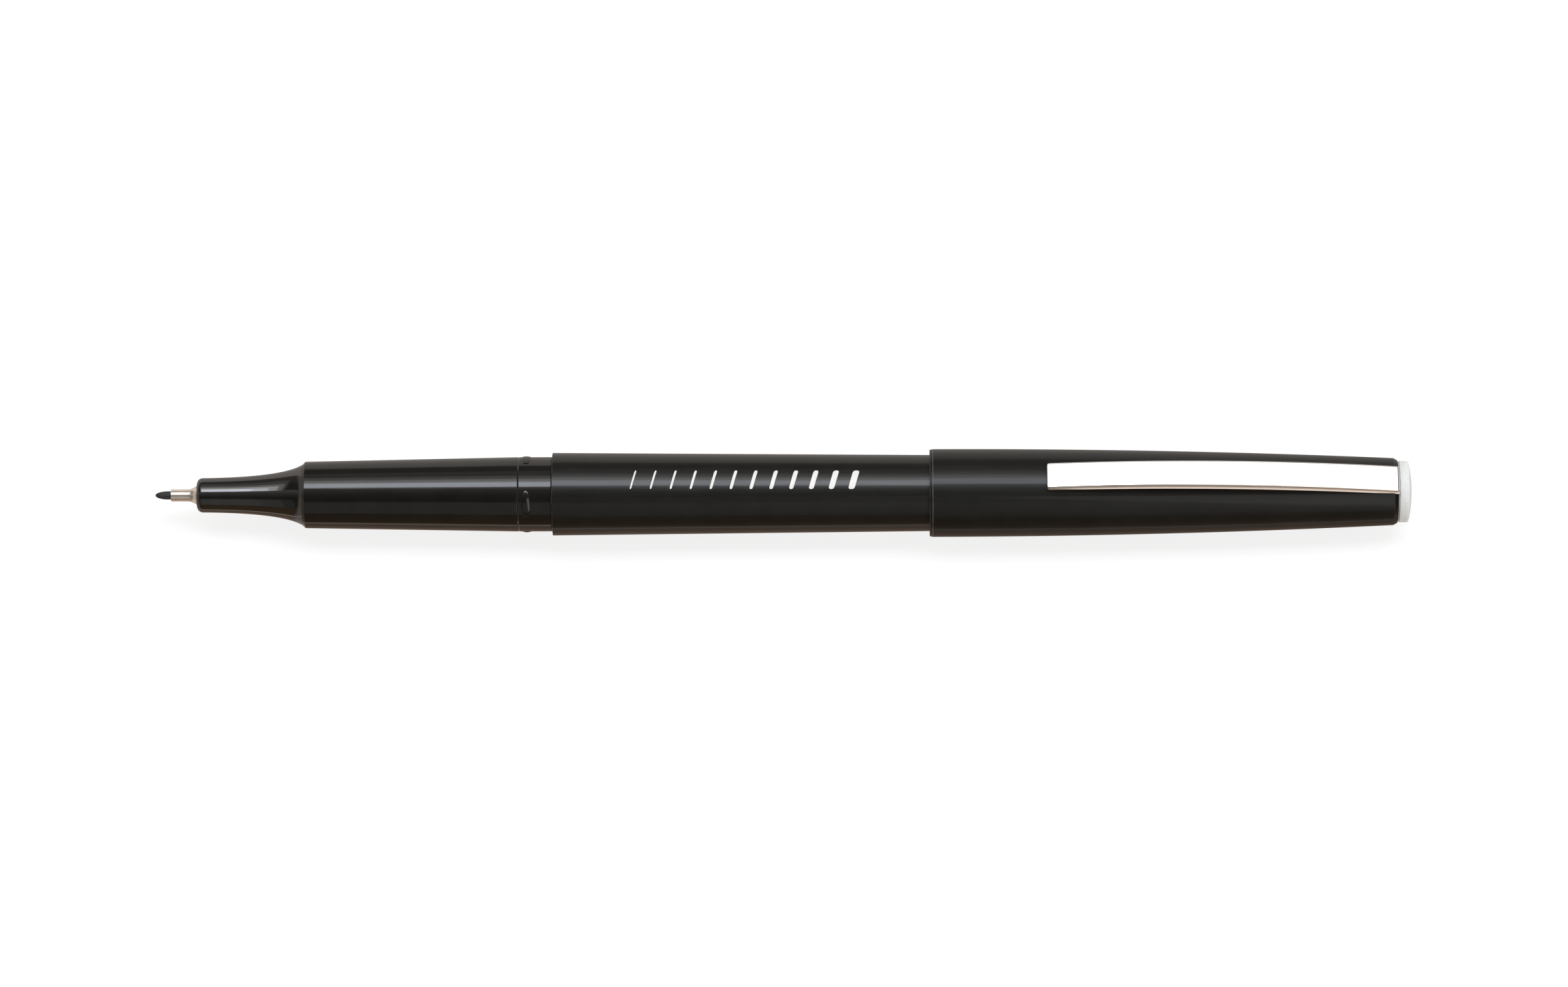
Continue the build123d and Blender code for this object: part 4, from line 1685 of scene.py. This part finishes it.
@dataclass
class Studio:
    """Pale floor, soft light, white surroundings and the camera of the photograph."""

    frame_width: float = 189.75
    camera_distance: float = 1050.0
    camera_elevation: float = 69.0
    camera_side: float = 11.5
    camera_roll: float = -0.18
    camera_aim: float = 0.13
    camera_reach: float = 10.0
    sensor: float = 36.0
    floor_half: float = 2.0
    floor_colour: Colour = (0.92, 0.87, 0.81)
    shadow_colour: Colour = (0.24, 0.24, 0.24)
    floor_white: float = 0.82
    floor_fade: Pair = (0.25, 0.9)
    wall_lean: tuple[float, float, float] = (-2.32, 0.33, -1.0)
    wall_span: Pair = (1.2, 2.4)
    walls: Sequence[tuple[float, Colour]] = (
        (0.0, NO_WALL),
        (0.06, NO_WALL),
        (0.33, PALE_WALL),
        (0.62, PALE_WALL),
        (0.80, DIM_WALL),
        (1.0, DIM_WALL),
    )
    glows: Sequence[Glow] = (
        Glow(-180.0, 0.80, PALE_SWEEP),
        Glow(-160.0, 0.65, PALE_SWEEP),
        Glow(-135.0, 0.50, PALE_SWEEP),
        Glow(-111.0, 0.30, WARM_CARD),
        Glow(-70.0, 0.34, WARM_CARD),
        Glow(-49.5, 0.40, WARM_CARD),
        Glow(-46.5, 1.10, PALE_CARD),
        Glow(-42.5, 1.10, PALE_CARD),
        Glow(-41.0, 0.20, BROWN_CARD),
        Glow(-5.0, 0.20, BROWN_CARD),
        Glow(4.0, 0.05, PALE_SWEEP),
        Glow(56.0, 0.05, PALE_SWEEP),
        Glow(67.0, 0.11, PALE_SWEEP),
        Glow(79.0, 0.24, PALE_SWEEP),
        Glow(92.5, 0.42, PALE_SWEEP),
        Glow(97.0, 0.05, PALE_SWEEP),
        Glow(125.0, 0.06, PALE_SWEEP),
        Glow(142.0, 0.16, PALE_SWEEP),
        Glow(168.5, 0.17, PALE_SWEEP),
        Glow(171.0, 0.85, PALE_SWEEP),
        Glow(180.0, 0.80, PALE_SWEEP),
    )
    boxes: Sequence[SoftBox] = (
        SoftBox("key_core", (92.5, 108.0), 0.88, 0.98, 2.3, COOL_LIGHT, shift=0.21),
        SoftBox("key_strip", (92.5, 108.0), 0.90, 1.08, 2.3, COOL_LIGHT, shift=0.16),
        SoftBox("key_mid", (92.5, 118.0), 0.92, 1.18, 1.7, PLAIN_LIGHT, shift=0.11),
        SoftBox("key_fall", (92.5, 129.0), 0.94, 1.28, 0.7, WARM_LIGHT, shift=0.06),
        SoftBox("key_tail", (95.0, 146.0), 0.96, 1.3, 0.25, WARM_LIGHT),
        SoftBox("front_core", (2.0, 44.0), 1.18, 0.8, 0.07, CREAM_LIGHT),
        SoftBox("front_card", (2.0, 44.0), 1.20, 1.4, 0.10, CREAM_LIGHT),
        SoftBox("front_wide", (2.0, 44.0), 1.22, 2.4, 0.09, CREAM_LIGHT),
        SoftBox("right_card", (18.0, 54.0), 1.1, 1.4, 0.5, WARM_LIGHT, 90.0, in_gloss=False),
        SoftBox("right_fill", (4.0, 60.0), 1.1, 0.5, 1.4, FILL_LIGHT, 26.0),
    )

    def build_floor(self) -> None:
        """Lay the floor, which is white with a soft shadow to the camera and matt to other light."""
        mesh = bpy.data.meshes.new("floor")
        half = self.floor_half
        corners = [(-half, -half, 0.0), (half, -half, 0.0), (half, half, 0.0), (-half, half, 0.0)]
        mesh.from_pydata(corners, [], [range(4)])
        material = bpy.data.materials.new("pale_floor")
        material.use_nodes = True
        material.node_tree.nodes.clear()
        graph = Graph(material.node_tree)
        matt = graph.add("ShaderNodeBsdfDiffuse", {"Color": (*self.floor_colour, 1.0)}).outputs[0]
        shade = graph.add("ShaderNodeBsdfDiffuse", {"Color": (*self.shadow_colour, 1.0)}).outputs[0]
        place = graph.add("ShaderNodeTexCoord").outputs["Object"]
        reach = graph.add("ShaderNodeVectorMath", {0: place}, operation="LENGTH").outputs["Value"]
        level = graph.spread(reach, self.floor_fade, (self.floor_white, 1.0))
        white = graph.add("ShaderNodeEmission", {"Strength": level}).outputs[0]
        seen = graph.add("ShaderNodeAddShader", {0: shade, 1: white}).outputs[0]
        share = graph.add("ShaderNodeLightPath").outputs["Is Camera Ray"]
        both = graph.add("ShaderNodeMixShader", {0: share, 1: matt, 2: seen}).outputs[0]
        graph.add("ShaderNodeOutputMaterial", {"Surface": both})
        mesh.materials.append(material)
        floor = new_piece("floor", mesh)
        floor.visible_glossy = False

    def build_surroundings(self) -> None:
        """Make the table, sweep and dim room that gloss shows, and plain white behind the object."""
        world = bpy.data.worlds.new("studio")
        world.use_nodes = True
        world.node_tree.nodes.clear()
        graph = Graph(world.node_tree)
        direction = graph.add("ShaderNodeTexCoord").outputs["Generated"]
        _, back, up = graph.split(direction)
        angle = graph.maths("ARCTAN2", up, graph.maths("MULTIPLY", back, -1.0))
        share = graph.spread(angle, (-math.pi, math.pi))
        sweep = graph.ramp(share, [glow.stop() for glow in self.glows])
        feeds = {0: direction, 1: self.wall_lean}
        lean = graph.add("ShaderNodeVectorMath", feeds, operation="DOT_PRODUCT").outputs["Value"]
        wall = graph.ramp(graph.spread(lean, self.wall_span), self.walls)
        room = graph.add("ShaderNodeVectorMath", {0: sweep, 1: wall}, operation="MAXIMUM").outputs[0]
        seen = graph.add("ShaderNodeLightPath").outputs["Is Camera Ray"]
        light = graph.add("ShaderNodeBackground", {"Color": graph.mix(seen, room, (1.0, 1.0, 1.0))})
        graph.add("ShaderNodeOutputWorld", {"Surface": light.outputs[0]})
        bpy.context.scene.world = world

    def build_camera(self, target: Vector) -> None:
        """Set up the camera at the photograph's angle.

        Args:
            target: The point that it looks at.
        """
        lens = bpy.data.cameras.new("camera")
        lens.sensor_width = self.sensor
        lens.lens = self.sensor * self.camera_distance / self.frame_width
        lens.clip_end = self.camera_reach
        camera = bpy.data.objects.new("camera", lens)
        lift = math.radians(self.camera_elevation)
        away = Vector((0.0, -math.cos(lift), math.sin(lift))) * self.camera_distance * MM
        camera.location = target + away + Vector((self.camera_side * MM, 0.0, 0.0))
        back = (camera.location - target).normalized()
        right = Vector((1.0, 0.0, 0.0))
        right = (right - right.project(back)).normalized()
        level = Matrix((right, back.cross(right), back)).transposed().to_quaternion()
        roll = Quaternion((0.0, 0.0, 1.0), math.radians(self.camera_roll))
        camera.rotation_mode = "QUATERNION"
        camera.rotation_quaternion = level @ roll
        bpy.context.scene.collection.objects.link(camera)
        bpy.context.scene.camera = camera

    def build(self) -> None:
        """Build the whole studio round the middle of the pen."""
        low, high = CAD_BOX
        target = Vector(((low.x + high.x) / 2 + self.camera_aim * MM, 0.0, AXIS.height))
        self.build_floor()
        self.build_surroundings()
        self.build_camera(target)
        for box in self.boxes:
            box.build(target)
        bpy.context.scene.view_settings.view_transform = "Standard"


def main() -> None:
    """Build every sub-assembly and the studio, in order."""
    logging.basicConfig(level=logging.INFO, format="%(name)s %(message)s")
    shop = Workshop()
    for unit in (NibUnit, NoseUnit, GripUnit, BarrelUnit, InkStore, CapUnit, ClipUnit):
        unit(shop).build()
    Studio().build()


if __name__ == "__main__":
    main()
